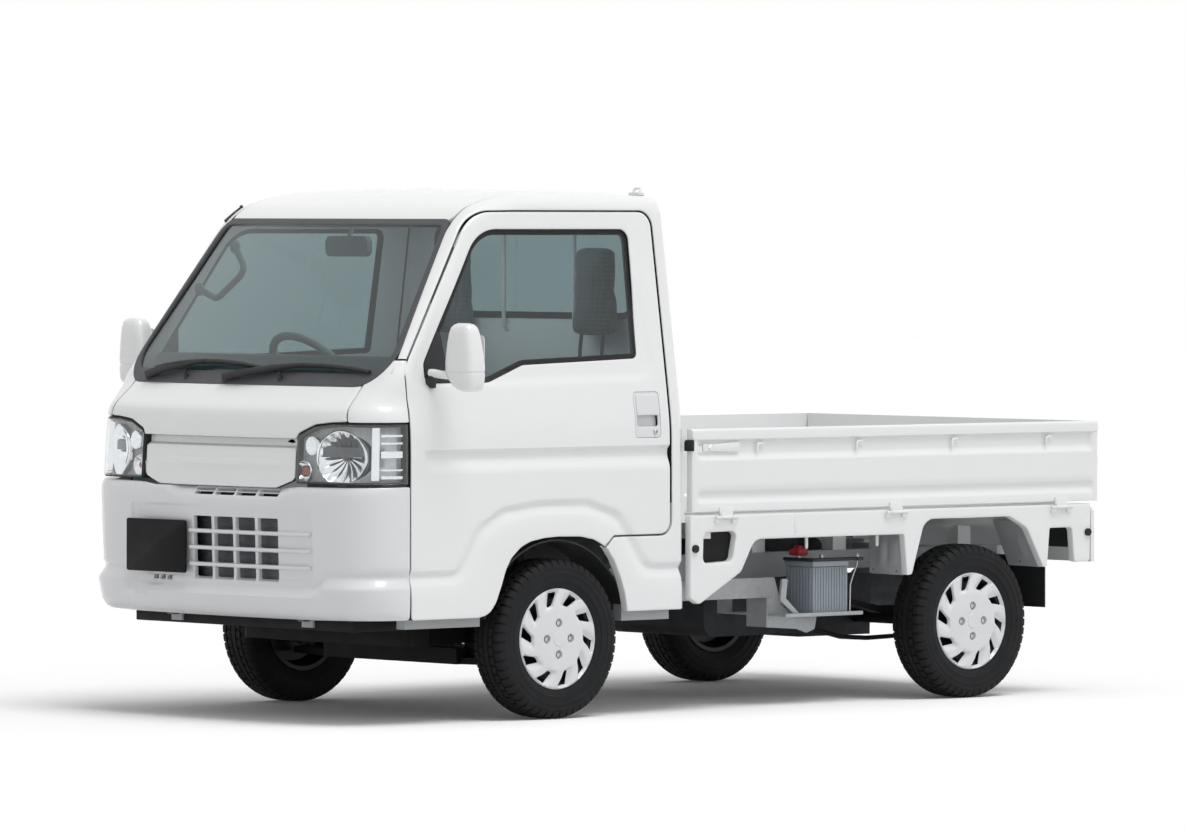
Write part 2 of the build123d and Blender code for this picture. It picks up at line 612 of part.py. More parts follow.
with BuildPart() as lamp_covers:
    add(cab_form(1, SILL_Z))
    add(cab_form(1 + 4, SILL_Z - 50), mode=Mode.SUBTRACT)
    with BuildSketch(Plane.YZ.offset(DOOR_FRONT_X + DOOR_GAP)):
        with BuildLine():
            FilletPolyline(LAMP_OUTLINE, radius=LAMP_RADII, close=True)
        make_face()
        offset(amount=-GLASS_FIT)
    extrude(amount=400, mode=Mode.INTERSECT)
    mirror(about=Plane.XZ)
keep(lamp_covers.part, "lamp_covers")

# Doors with their handles, glass and mirrors
def side_pad(middle_x, middle_z, width, height, corner):
    """Rounded rectangle seen from the left, carried out through the side wall."""
    with BuildPart() as pad:
        with BuildSketch(Plane.XZ.offset(-SIDE_HIGH_Y)):
            with Locations((middle_x, middle_z)):
                RectangleRounded(width, height, corner)
        extrude(amount=SIDE_HIGH_Y - SKIN_HALF_WIDTH + WALL)
    return pad.part


handle_plate = side_pad(HANDLE_X, HANDLE_Z, HANDLE_WIDTH, HANDLE_HEIGHT, 14)
finger_pocket = side_pad(HANDLE_X, HANDLE_Z - 14, FINGER_WIDTH, FINGER_HEIGHT, 8)
with BuildPart() as door_left:
    add(cab_shell.part)
    add(flare_pad.part)
    add(belt_groove.part, mode=Mode.SUBTRACT)
    add(door_block, mode=Mode.INTERSECT)
    add(window_hole, mode=Mode.SUBTRACT)
    add(arch_hole, mode=Mode.SUBTRACT)
    add(screen_hole, mode=Mode.SUBTRACT)
    add(inner_space(WALL), mode=Mode.SUBTRACT)
    rebate = span_box(DOOR_REAR_X - 10, DOOR_REAR_X + 16, SIDE_LOW_Y, SIDE_HIGH_Y, 1100, 1700)
    add(rebate & cab_form(WALL / 2, 1100), mode=Mode.SUBTRACT)
    add(handle_plate - cab_form(HANDLE_DEPTH, SILL_Z), mode=Mode.SUBTRACT)
    add(finger_pocket - cab_form(FINGER_DEPTH, SILL_Z), mode=Mode.SUBTRACT)
    for hinge_z in DOOR_HINGES:
        low = hinge_z + DOOR_BARREL + 0.4
        add(span_box(DOOR_FRONT_X - 4, DOOR_AXIS_X, DOOR_AXIS_Y - 2, DOOR_AXIS_Y, low, low + DOOR_BARREL))
        add(rod((DOOR_AXIS_X, DOOR_AXIS_Y, low), (DOOR_AXIS_X, DOOR_AXIS_Y, low + DOOR_BARREL), DOOR_BARREL_RADIUS))
keep(door_left.part, "door_left")
keep(mirror(door_left.part, about=Plane.XZ), "door_right")

with BuildPart() as door_glass_left:
    add(cab_form(GLASS_INSET, SILL_Z))
    add(cab_form(GLASS_INSET + GLASS, SILL_Z - 50), mode=Mode.SUBTRACT)
    add(grown_side_block(WINDOW_OUTLINE, WINDOW_RADII, -GLASS_FIT, SIDE_LOW_Y, SIDE_HIGH_Y), mode=Mode.INTERSECT)
keep(door_glass_left.part, "door_glass_left")
keep(mirror(door_glass_left.part, about=Plane.XZ), "door_glass_right")

MIRROR_ARM_Z = 1176.0
arm_skin_y = SKIN_HALF_WIDTH - (MIRROR_ARM_Z - TUMBLE_Z) * TUMBLE_SLOPE
with BuildPart() as mirror_left:
    with BuildSketch(Plane.YZ.offset(1300)):
        with Locations((822, 1212)):
            RectangleRounded(124, 196, 34)
    extrude(amount=52, taper=8)
    add(rod((1352, arm_skin_y + 1, MIRROR_ARM_Z), (1318, 800, MIRROR_ARM_Z - 20), 13))
    add(span_box(1326, 1376, arm_skin_y - 2, arm_skin_y + 14, MIRROR_ARM_Z - 40, MIRROR_ARM_Z + 40))
    add(door_left.part, mode=Mode.SUBTRACT)
    add(door_glass_left.part, mode=Mode.SUBTRACT)
keep(mirror_left.part, "mirror_left")
keep(mirror(mirror_left.part, about=Plane.XZ), "mirror_right")

# Cab floor: footwell, riser and seat platform as one bent sheet, with rockers below the doors
RISER_X = FRONT_AXLE_X + 316
ROCKER_Z = 312.0
floor_outline = [(1545, FOOTWELL_Z - FLOOR_SHEET), (1545, FOOTWELL_Z + 90), (1520, FOOTWELL_Z + 90), (1500, FOOTWELL_Z),
                 (RISER_X + FLOOR_SHEET, FOOTWELL_Z), (RISER_X + FLOOR_SHEET - 40, PLATFORM_Z),
                 (CAB_REAR_X + WALL + 0.2, PLATFORM_Z), (CAB_REAR_X + WALL + 0.2, PLATFORM_Z - FLOOR_SHEET),
                 (RISER_X - 40, PLATFORM_Z - FLOOR_SHEET), (RISER_X, FOOTWELL_Z - FLOOR_SHEET)]
with BuildPart() as cab_floor:
    add(side_block(floor_outline, [0, 0, 0, 0, 8, 8, 0, 0, 8, 8], -670, 670))
    for side in (-1, 1):
        add(span_box(RISER_X, 1440, side * 660 - 20, side * 660 + 20, ROCKER_Z, 388))
        add(span_box(CAB_REAR_X + WALL + 0.2, 496, side * 660 - 20, side * 660 + 20, ROCKER_Z, PLATFORM_Z))
keep(cab_floor.part, "cab_floor")

# Dashboard with the steering column
COLUMN_LOW = (1310.0, STEERING_Y, 795.4)
COLUMN_HIGH = (984.4, STEERING_Y, 1085.0)
with BuildPart() as dashboard:
    add(side_block([(1240, 900), (1205, 1090), (1262, 1184), (1395, 1190), (1450, 1100), (1450, 860), (1330, 760)],
                   [20, 40, 40, 20, 20, 20, 30], -630, 630))
    add(rod(COLUMN_LOW, COLUMN_HIGH, 34))
    for side in (-1, 1):
        with Locations(((1440 + POST_X - GLASS_FIT) / 2, side * (POST_Y - 28), 930)):
            Box(POST_X - GLASS_FIT - 1440, 32, 60)
keep(dashboard.part, "dashboard")

column_line = Vector(*COLUMN_HIGH) - Vector(*COLUMN_LOW)
column_unit = column_line.normalized()
wheel_centre = Vector(*COLUMN_HIGH) + column_unit * 46
with BuildPart() as steering_wheel:
    with BuildSketch(Plane(origin=wheel_centre, x_dir=column_unit, z_dir=(0, 1, 0))):
        with Locations((0, STEERING_RADIUS - 14)):
            Circle(14)
    revolve(axis=Axis(wheel_centre, column_unit))
    with BuildSketch(Plane(origin=wheel_centre - column_unit * 45.5, z_dir=column_unit)):
        Circle(44)
    extrude(amount=58)
    rim_plane = Plane(origin=wheel_centre, x_dir=(0, 1, 0), z_dir=column_unit)
    with BuildSketch(rim_plane.offset(-12)):
        with PolarLocations(0, 3, start_angle=90):
            with Locations((95, 0)):
                Rectangle(160, 34)
    extrude(amount=16)
keep(steering_wheel.part, "steering_wheel")

# Seats
SEAT_Y = 345.0
with BuildPart() as seat_cushions:
    with Locations((610, SEAT_Y, PLATFORM_Z + 70), (610, -SEAT_Y, PLATFORM_Z + 70)):
        Box(480, 470, 139)
    fillet(seat_cushions.edges().filter_by(lambda e: e.center().Z > PLATFORM_Z + 60), radius=40)
keep(seat_cushions.part, "seat_cushions")

with BuildPart() as seat_backs:
    for side in (-1, 1):
        add(side_block([(372, 700), (306, 1205), (398, 1205), (500, 780.5), (430, 780.5), (420, 700)],
                       [20, 40, 40, 0, 0, 0], side * SEAT_Y - 215, side * SEAT_Y + 215))
    add(seat_cushions.part, mode=Mode.SUBTRACT)
keep(seat_backs.part, "seat_backs")

with BuildPart() as headrests:
    for side in (-1, 1):
        add(side_block([(300, 1262), (286, 1556), (356, 1556), (386, 1440), (372, 1262)],
                       [24, 28, 28, 30, 24], side * SEAT_Y - 120, side * SEAT_Y + 120))
        for post in (-55, 55):
            add(rod((352, side * SEAT_Y + post, 1206.3), (340, side * SEAT_Y + post, 1280), 7))
keep(headrests.part, "headrests")

with BuildPart() as interior_mirror:
    with Locations((1150, 60, 1545)):
        Box(22, 214, 68)
    fillet(interior_mirror.edges().filter_by(Axis.X), radius=26)
    add(rod((1152, 60, 1560), (1120, 60, 1646), 7))
    add(roof_panel.part, mode=Mode.SUBTRACT)
keep(interior_mirror.part, "interior_mirror")

# Ladder frame: two kicked-up rails, cross members, battery tray and axle stops
rail_outline = [(1560, 310), (1560, 377.8), (1100, 377.8), (430, 310 + RAIL_DEPTH), (180, 420 + RAIL_DEPTH), (-1560, 420 + RAIL_DEPTH),
                (-1560, 440), (-760, 440), (-560, 420), (190, 400), (420, 310)]
with BuildPart() as ladder_frame:
    for side in (-1, 1):
        middle = side * RAIL_Y
        add(side_block(rail_outline, [0] * len(rail_outline), middle - RAIL_WIDTH / 2, middle + RAIL_WIDTH / 2))
    for beam_x, beam_z in ((1500, 346), (1180, 350), (330, 430), (-420, 462), (-1530, 470)):
        with Locations((beam_x, 0, beam_z)):
            Box(60, 2 * RAIL_Y, 44)
    tray_z = 306.0
    add(span_box(-620, -270, 360, 664, tray_z - 6, tray_z))
    for tray_x in (-610, -290):
        add(span_box(tray_x - 10, tray_x + 10, 308, 362, tray_z - 6, 424))
keep(ladder_frame.part, "ladder_frame")

with BuildPart() as battery:
    with Locations((-431, 556, 306 + 88)):
        Box(238, 190, 176)
    with Locations((-431, 556, 306 + 168)):
        Box(246, 198, 16)
    with Locations((-340, 620, 490), (-520, 620, 490)):
        Cylinder(9, 30)
keep(battery.part, "battery")

with BuildPart() as radiator:
    with Locations((1610, 0, 520)):
        Box(46, 720, 330)
    for side in (-1, 1):
        add(span_box(1560.2, 1588, side * RAIL_Y - 15, side * RAIL_Y + 15, 330, 420))
keep(radiator.part, "radiator")

with BuildPart() as engine_block:
    with Locations((-560, 0, 380)):
        Box(560, 480, 330)
    fillet(engine_block.edges().filter_by(Axis.Y), radius=50)
    with Locations((-1000, 0, 300)):
        Box(340, 260, 210)
    for mount_x in (-760, -360):
        add(span_box(mount_x - 25, mount_x + 25, -RAIL_Y - 20, RAIL_Y + 20, 400, 419.5))
    add(ladder_frame.part, mode=Mode.SUBTRACT)
keep(engine_block.part, "engine_block")

with BuildPart() as fuel_tank:
    with Locations((-360, -520, 330)):
        Box(440, 250, 200)
    fillet(fuel_tank.edges().filter_by(Axis.X), radius=40)
    add(span_box(-300, -260, -420, -340, 405, 425))
    add(ladder_frame.part, mode=Mode.SUBTRACT)
keep(fuel_tank.part, "fuel_tank")

with BuildPart() as muffler:
    add(rod((-1480, -230, 330), (-1480, 230, 330), 85))
    add(rod((-1480, -180, 330), (-1660, -180, 330), 22))
    for side in (-1, 1):
        add(span_box(-1490, -1470, side * 190 - 15, side * 190 + 15, 400, 449))
    add(span_box(-1500, -1460, -310, 310, 449, 452))
    add(ladder_frame.part, mode=Mode.SUBTRACT)
keep(muffler.part, "muffler")

# Rear axle tube, stub ends and leaf springs
STUB_END_Y = WHEEL_Y - 34.5
SPRING_Y = 440.0
with BuildPart() as rear_axle:
    with BuildSketch(Plane.XZ.offset(-STUB_END_Y)):
        with Locations((REAR_AXLE_X, AXLE_Z)):
            Circle(24)
    extrude(amount=2 * STUB_END_Y)
    add(rod((REAR_AXLE_X, -STUB_END_Y, AXLE_Z), (REAR_AXLE_X, -STUB_END_Y + 60, AXLE_Z), 70))
    add(rod((REAR_AXLE_X, STUB_END_Y, AXLE_Z), (REAR_AXLE_X, STUB_END_Y - 60, AXLE_Z), 70))
    add(engine_block.part, mode=Mode.SUBTRACT)
keep(rear_axle.part, "rear_axle")

with BuildPart() as leaf_springs:
    for side in (-1, 1):
        middle = side * SPRING_Y
        add(side_block([(-640, 352), (-640, 364), (-900, 312), (-1300, 312), (-1560, 364), (-1560, 352), (-1300, 288),
                        (-900, 288)], [0, 0, 60, 60, 0, 0, 60, 60], middle - 25, middle + 25))
        for shackle_x in (-640, -1556):
            add(span_box(shackle_x - 14, shackle_x + 14, middle - 25, middle + 25, 352, 470))
            add(span_box(shackle_x - 14, shackle_x + 14, min(middle, side * 363.2), max(middle, side * 363.2), 445, 470))
    add(rear_axle.part, mode=Mode.SUBTRACT)
keep(leaf_springs.part, "leaf_springs")

# Front suspension: cross member with lower arms under the knuckles
with BuildPart() as lower_arms:
    for side in (-1, 1):
        arm = [(FRONT_AXLE_X - 30, side * (BALL_Y + 20)), (FRONT_AXLE_X + 30, side * (BALL_Y + 20)),
               (FRONT_AXLE_X + 110, side * 300), (FRONT_AXLE_X - 110, side * 300)]
        with BuildSketch(Plane.XY.offset(BALL_Z - 22)):
            with BuildLine():
                Polyline(arm, close=True)
            make_face()
        extrude(amount=22)
    add(span_box(FRONT_AXLE_X - 120, FRONT_AXLE_X + 120, -340, 340, BALL_Z - 22, BALL_Z + 30))
    for side in (-1, 1):
        add(span_box(FRONT_AXLE_X - 60, FRONT_AXLE_X + 60, side * RAIL_Y - 25, side * RAIL_Y + 25, BALL_Z, 340))
    add(ladder_frame.part, mode=Mode.SUBTRACT)
keep(lower_arms.part, "lower_arms")

# Knuckle with stub axle, steering arm and strut, turning about the leaning strut line
def pin_y(z):
    """Y of the leaning steering axis at height z."""
    return BALL_Y - (z - BALL_Z) * (BALL_Y - STRUT_TOP_Y) / (STRUT_TOP_Z - BALL_Z)


lean_sine = (BALL_Y - STRUT_TOP_Y) / sqrt((BALL_Y - STRUT_TOP_Y) ** 2 + (STRUT_TOP_Z - BALL_Z) ** 2)
FOOT_Z = BALL_Z + UPRIGHT_RADIUS * lean_sine + 0.4
HEAD_Z = STRUT_TOP_Z - STRUT_RADIUS * lean_sine
with BuildPart() as knuckle_left:
    add(rod((FRONT_AXLE_X, pin_y(FOOT_Z), FOOT_Z), (FRONT_AXLE_X, pin_y(340), 340), UPRIGHT_RADIUS))
    add(rod((FRONT_AXLE_X, pin_y(330), 330), (FRONT_AXLE_X, pin_y(HEAD_Z), HEAD_Z), STRUT_RADIUS))
    add(rod((FRONT_AXLE_X, pin_y(AXLE_Z), AXLE_Z), (FRONT_AXLE_X, STUB_END_Y, AXLE_Z), 56))
    arm_y = pin_y(ARM_Z + 9)
    add(span_box(FRONT_AXLE_X - KNUCKLE_ARM - 16, FRONT_AXLE_X, arm_y - 15, arm_y + 15, ARM_Z, ARM_Z + 18))
keep(knuckle_left.part, "knuckle_left")
keep(mirror(knuckle_left.part, about=Plane.XZ), "knuckle_right")

# Steering rack housing on the frame, and the sliding tie rods below the steering arms
RACK_X = FRONT_AXLE_X - KNUCKLE_ARM
RACK_Z = ARM_Z - TIE_ROD_GAP - 12
TIE_END_Y = pin_y(ARM_Z + 9)
with BuildPart() as steering_rack:
    with BuildSketch(Plane.XZ.offset(-210)):
        with Locations((RACK_X, RACK_Z)):
            Circle(30)
            Circle(12.4, mode=Mode.SUBTRACT)
    extrude(amount=420)
    for side in (-1, 1):
        add(span_box(RACK_X - 20, RACK_X + 20, side * 190 - 12, side * 190 + 12, RACK_Z + 20, 330))
    add(span_box(RACK_X - 20, RACK_X + 20, -RAIL_Y, RAIL_Y, 322, 340))
    add(ladder_frame.part, mode=Mode.SUBTRACT)
keep(steering_rack.part, "steering_rack")

with BuildPart() as tie_rods:
    add(rod((RACK_X, -TIE_END_Y, RACK_Z), (RACK_X, TIE_END_Y, RACK_Z), 12))
    for side in (-1, 1):
        with Locations((RACK_X, side * TIE_END_Y, RACK_Z)):
            Cylinder(16, 30)
keep(tie_rods.part, "tie_rods")

# Wheels: a tyre and a covered rim at each corner
with BuildPart() as tyre:
    with BuildSketch(Plane.YZ):
        with BuildLine():
            half = TYRE_WIDTH / 2
            FilletPolyline((-half + 14, RIM_RADIUS), (-half, RIM_RADIUS + 26), (-half, TYRE_RADIUS - TYRE_SHOULDER),
                           (-half + 14, TYRE_RADIUS), (half - 14, TYRE_RADIUS), (half, TYRE_RADIUS - TYRE_SHOULDER),
                           (half, RIM_RADIUS + 26), (half - 14, RIM_RADIUS), radius=[8, 20, 10, 10, 20, 8, 0, 0],
                           close=True)
        make_face()
        with Locations(*[(groove_y, TYRE_RADIUS) for groove_y in TREAD_GROOVES]):
            Rectangle(TREAD_GROOVE_WIDTH, 2 * TREAD_GROOVE_DEPTH, mode=Mode.SUBTRACT)
    revolve(axis=Axis.Y)

with BuildPart() as rim:
    rim_half = RIM_WIDTH / 2
    with BuildSketch(Plane.YZ):
        with BuildLine():
            Polyline((-rim_half, RIM_RADIUS - 0.2), (rim_half, RIM_RADIUS - 0.2), (rim_half, RIM_RADIUS - 14),
                     (12, RIM_RADIUS - 30), (12, 60), (-4, 60), (-4, RIM_RADIUS - 34), (-rim_half, RIM_RADIUS - 14),
                     close=True)
        make_face()
    revolve(axis=Axis.Y)
    add(rod((0, -34, 0), (0, 30, 0), 62))
    with BuildSketch(Plane.YZ):
        with BuildLine():
            Polyline((28, 0), (TYRE_WIDTH / 2 - 4, 0), (TYRE_WIDTH / 2 - 4, 60), (TYRE_WIDTH / 2 - 16, RIM_RADIUS - 28),
                     (TYRE_WIDTH / 2 - 9, RIM_RADIUS - 3), (rim_half - 4, RIM_RADIUS - 3), (rim_half - 10, RIM_RADIUS - 30),
                     (rim_half - 16, 60), (28, 50), close=True)
        make_face()
    revolve(axis=Axis.Y)
    with BuildSketch(Plane.XZ.offset(-TYRE_WIDTH / 2)):
        with PolarLocations(COVER_SLOT_RADIUS, COVER_SLOTS):
            Rectangle(*COVER_SLOT_SIZE, rotation=COVER_SLOT_SLANT)
    extrude(amount=TYRE_WIDTH / 2 - 30, mode=Mode.SUBTRACT)
    with BuildSketch(Plane.XZ.offset(-(TYRE_WIDTH / 2 - 4))):
        with PolarLocations(NUT_CIRCLE, 4):
            Circle(NUT_RECESS_RADIUS)
    extrude(amount=NUT_RECESS_DEPTH, mode=Mode.SUBTRACT)
WHEEL_PLACES = {
    "front_left": (FRONT_AXLE_X, 1),
    "front_right": (FRONT_AXLE_X, -1),
    "rear_left": (REAR_AXLE_X, 1),
    "rear_right": (REAR_AXLE_X, -1),
}
for place, (axle_x, side) in WHEEL_PLACES.items():
    spot = Location((axle_x, side * WHEEL_Y, AXLE_Z), (0, 0, 0 if side > 0 else 180))
    keep(spot * tyre.part, f"tyre_{place}")
    keep(spot * rim.part, f"wheel_{place}")

# Inner liners over the front wheels
with BuildPart() as wheel_liners:
    for side in (-1, 1):
        low_y = min(side * 548, side * 695)
        with BuildSketch(Plane.XZ.offset(-(low_y + 147))):
            with BuildLine():
                for radius in (LINER_RADIUS, LINER_RADIUS + LINER_SHEET):
                    CenterArc((FRONT_AXLE_X, AXLE_Z + 8), radius, 12, 150)
                for angle in (12, 162):
                    Line((FRONT_AXLE_X + LINER_RADIUS * cos(radians(angle)), AXLE_Z + 8 + LINER_RADIUS * sin(radians(angle))),
                         (FRONT_AXLE_X + (LINER_RADIUS + LINER_SHEET) * cos(radians(angle)),
                          AXLE_Z + 8 + (LINER_RADIUS + LINER_SHEET) * sin(radians(angle))))
            make_face()
        extrude(amount=147)
        add(span_box(FRONT_AXLE_X - 40, FRONT_AXLE_X + 40, side * 580 - 20, side * 580 + 20, AXLE_Z + 8 + LINER_RADIUS + 2,
                     PLATFORM_Z - FLOOR_SHEET - 0.2))
    add(cab_floor.part, mode=Mode.SUBTRACT)
keep(wheel_liners.part, "wheel_liners")

# Bed floor with ribs, headboard, side sills and rear panel
HINGE_LENGTH = 100.0
HINGE_PLAY = 0.4
SIDE_HINGES = (77.0, -710.0, -1502.0)
TAIL_HINGES = (-470.0, 470.0)
TAIL_AXIS_X = TAIL_OUTER_X - (GATE_AXIS_OUT - GATE_OUTER_Y)
BED_HALF = SILL_OUTER_Y - SILL_SHEET
with BuildPart() as bed_floor:
    add(span_box(TAIL_INNER_X - 10, BED_FRONT_X + 12, -BED_HALF, BED_HALF, BED_FLOOR_Z - BED_SHEET, BED_FLOOR_Z))
    for rib in range(11):
        rib_y = -600 + rib * 120
        add(span_box(TAIL_INNER_X + 40, BED_FRONT_X - 40, rib_y - 20, rib_y + 20, BED_FLOOR_Z, BED_FLOOR_Z + 4))
    for beam_x in (150, -420, -800, -1400):
        add(span_box(beam_x - 30, beam_x + 30, -BED_HALF, BED_HALF, 575, BED_FLOOR_Z - BED_SHEET))
        for side in (-1, 1):
            add(span_box(beam_x - 30, beam_x + 30, side * RAIL_Y - 28, side * RAIL_Y + 28, 504.2, 575))
keep(bed_floor.part, "bed_floor")

with BuildPart() as bed_headboard:
    add(span_box(BED_FRONT_X, BED_FRONT_X + 12, -BED_HALF, BED_HALF, BED_FLOOR_Z + 0.2, GATE_TOP_Z - 20))
    add(span_box(BED_FRONT_X - 8, BED_FRONT_X + 12, -BED_HALF, BED_HALF, GATE_TOP_Z - 40, GATE_TOP_Z))
keep(bed_headboard.part, "bed_headboard")

sill_outline = [(BED_FRONT_X - 6, BED_FLOOR_Z), (BED_FRONT_X - 6, 380), (194, 357), (4, 461), (-60, 569), (-752, 569),
                (-766, 430), (-790, 430), (-846, 600), (-880, 618), (-1260, 618), (-1340, 577), (-1420, 440), (-1440, 440),
                (-1452, 574), (-1560, 574), (-1571, 453), (-1648, 453), (-1652, BED_FLOOR_Z)]
with BuildPart() as bed_sill_left:
    add(side_block(sill_outline, [0] * len(sill_outline), BED_HALF, SILL_OUTER_Y))
    add(side_block([(24, 496), (24, 595), (173, 595), (173, 496)], [14, 14, 14, 14], 600, 800), mode=Mode.SUBTRACT)
    for hinge_x in SIDE_HINGES:
        for end in (-1, 1):
            near = hinge_x + end * (HINGE_LENGTH / 4 + HINGE_PLAY)
            far = hinge_x + end * HINGE_LENGTH / 2
            add(rod((near, GATE_AXIS_OUT, GATE_AXIS_Z), (far, GATE_AXIS_OUT, GATE_AXIS_Z), GATE_BARREL_RADIUS))
            add(span_box(min(near, far), max(near, far), SILL_OUTER_Y - 2, GATE_AXIS_OUT, GATE_AXIS_Z - 5.5, GATE_AXIS_Z))
    for plate_x in (-772, -1438):
        add(span_box(plate_x - 4, plate_x + 4, 560, BED_HALF + 2, 436, BED_FLOOR_Z - BED_SHEET))
    add(bed_floor.part, mode=Mode.SUBTRACT)
keep(bed_sill_left.part, "bed_sill_left")
keep(mirror(bed_sill_left.part, about=Plane.XZ), "bed_sill_right")

# Rubber stops that a dropped side gate lands on
STOP_PLACES = ((BED_FRONT_X - 25, 544.0), (-1634.0, 556.0))
with BuildPart() as gate_stops:
    for side in (-1, 1):
        for stop_x, stop_z in STOP_PLACES:
            add(rod((stop_x, side * SILL_OUTER_Y, stop_z), (stop_x, side * (SILL_OUTER_Y + 8), stop_z), 13))
keep(gate_stops.part, "gate_stops")

with BuildPart() as rear_panel:
    add(span_box(-1668, -1652.2, -SILL_OUTER_Y, SILL_OUTER_Y, 453, BED_FLOOR_Z - BED_SHEET - 0.2))
    for side in (-1, 1):
        add(span_box(-1700, -1600, side * 560 - 100, side * 560 + 100, 500, 600), mode=Mode.SUBTRACT)
        add(span_box(-1652.2, -1560.2, side * RAIL_Y - 25, side * RAIL_Y + 25, 455, 500))
    add(span_box(TAIL_OUTER_X + 4, -1652.2, -BED_HALF, BED_HALF, 618, 640))
    for hinge_y in TAIL_HINGES:
        for end in (-1, 1):
            near = hinge_y + end * (HINGE_LENGTH / 4 + HINGE_PLAY)
            far = hinge_y + end * HINGE_LENGTH / 2
            add(rod((TAIL_AXIS_X, near, GATE_AXIS_Z), (TAIL_AXIS_X, far, GATE_AXIS_Z), GATE_BARREL_RADIUS))
            add(span_box(TAIL_AXIS_X, TAIL_OUTER_X + 6, min(near, far), max(near, far), GATE_AXIS_Z - 16, GATE_AXIS_Z))
    add(bed_floor.part, mode=Mode.SUBTRACT)
keep(rear_panel.part, "rear_panel")

with BuildPart() as tail_lamps:
    with Locations((-1664, 560, 550), (-1664, -560, 550)):
        Box(24, 199.6, 99.6)
keep(tail_lamps.part, "tail_lamps")

with BuildPart() as mud_flaps:
    for side in (-1, 1):
        low_y = min(side * 565, side * 715)
        add(span_box(-1447.5, -1442.2, low_y, low_y + 150, 300, 470))
    add(bed_sill_left.part, mode=Mode.SUBTRACT)
    add(mirror(bed_sill_left.part, about=Plane.XZ), mode=Mode.SUBTRACT)
keep(mud_flaps.part, "mud_flaps")

# Drop-side gates, hinged along the foot
GATE_PROFILE = [(0, 0), (GATE_THICKNESS - 2, 0), (GATE_THICKNESS - 2, 28), (GATE_THICKNESS - 10, 42),
                (GATE_THICKNESS - 10, 52), (GATE_THICKNESS - 2, 70), (GATE_THICKNESS - 2, 172), (GATE_THICKNESS - 14, 192),
                (GATE_THICKNESS - 14, 226), (GATE_THICKNESS, 238), (GATE_THICKNESS, GATE_HEIGHT - 4),
                (GATE_THICKNESS - 4, GATE_HEIGHT), (2, GATE_HEIGHT)]
GATE_LENGTH = GATE_FRONT_X - TAIL_OUTER_X
with BuildPart() as gate_left:
    with BuildSketch(Plane.YZ.offset(TAIL_OUTER_X)):
        with BuildLine():
            Polyline([(GATE_INNER_Y + y, GATE_BOTTOM_Z + z) for y, z in GATE_PROFILE], close=True)
        make_face()
    extrude(amount=GATE_LENGTH)
    for hinge_x in SIDE_HINGES:
        low = hinge_x - HINGE_LENGTH / 4
        high = hinge_x + HINGE_LENGTH / 4
        add(span_box(low, high, GATE_OUTER_Y - 3, GATE_AXIS_OUT + 3, GATE_BOTTOM_Z, GATE_BOTTOM_Z + 24))
        add(span_box(low, high, GATE_AXIS_OUT - 4, GATE_AXIS_OUT + 3, GATE_AXIS_Z, GATE_BOTTOM_Z + 5))
        add(rod((low, GATE_AXIS_OUT, GATE_AXIS_Z), (high, GATE_AXIS_OUT, GATE_AXIS_Z), GATE_BARREL_RADIUS))
    groove_y = GATE_OUTER_Y - 14
    hook_z = GATE_BOTTOM_Z + 222
    for hook in ROPE_HOOKS:
        hook_x = GATE_FRONT_X - hook
        bar_y = groove_y + 2 + HOOK_BAR
        add(span_box(hook_x + 8, hook_x + 34, groove_y - 2, groove_y + 3, hook_z - 10, hook_z + 6))
        add(rod((hook_x + 22, bar_y, hook_z), (hook_x - HOOK_BAR, bar_y, hook_z), HOOK_BAR))
        add(rod((hook_x, bar_y, hook_z), (hook_x, bar_y, hook_z - 30), HOOK_BAR))
    for (near, far), latch_y in ((LATCH_LEVER, GATE_OUTER_Y - 1), (LATCH_BRACKET, GATE_OUTER_Y - 5)):
        add(side_block([(GATE_FRONT_X - far, hook_z - 22), (GATE_FRONT_X - far, hook_z + 4),
                        (GATE_FRONT_X - near, hook_z + 4), (GATE_FRONT_X - near, hook_z - 22)], [6, 6, 6, 6],
                       groove_y - 2, latch_y))
keep(gate_left.part, "gate_left")
keep(mirror(gate_left.part, about=Plane.XZ), "gate_right")

TAIL_HALF = GATE_INNER_Y - GATE_END_GAP
with BuildPart() as tailgate:
    with BuildSketch(Plane.XZ.offset(-TAIL_HALF)):
        with BuildLine():
            Polyline([(TAIL_INNER_X - y, GATE_BOTTOM_Z + z) for y, z in GATE_PROFILE], close=True)
        make_face()
    extrude(amount=2 * TAIL_HALF)
    for hinge_y in TAIL_HINGES:
        low = hinge_y - HINGE_LENGTH / 4
        high = hinge_y + HINGE_LENGTH / 4
        add(span_box(TAIL_AXIS_X - 3, TAIL_OUTER_X + 3, low, high, GATE_BOTTOM_Z, GATE_BOTTOM_Z + 24))
        add(span_box(TAIL_AXIS_X - 3, TAIL_AXIS_X + 4, low, high, GATE_AXIS_Z, GATE_BOTTOM_Z + 5))
        add(rod((TAIL_AXIS_X, low, GATE_AXIS_Z), (TAIL_AXIS_X, high, GATE_AXIS_Z), GATE_BARREL_RADIUS))
keep(tailgate.part, "tailgate")
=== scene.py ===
# %% [markdown]
# # A small drop-side truck
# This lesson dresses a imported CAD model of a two-seat truck. The CAD gives the sizes and the
# joints; Blender adds the pressed panels, the finishes and the small pieces that the eye looks for.
# Everything is in metres, X forward, Y to the vehicle's left, Z up, with the ground at zero.

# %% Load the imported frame
import json
import math
import bmesh
import bpy
import numpy as np
from mathutils import Matrix, Vector
from mathutils.geometry import delaunay_2d_cdt


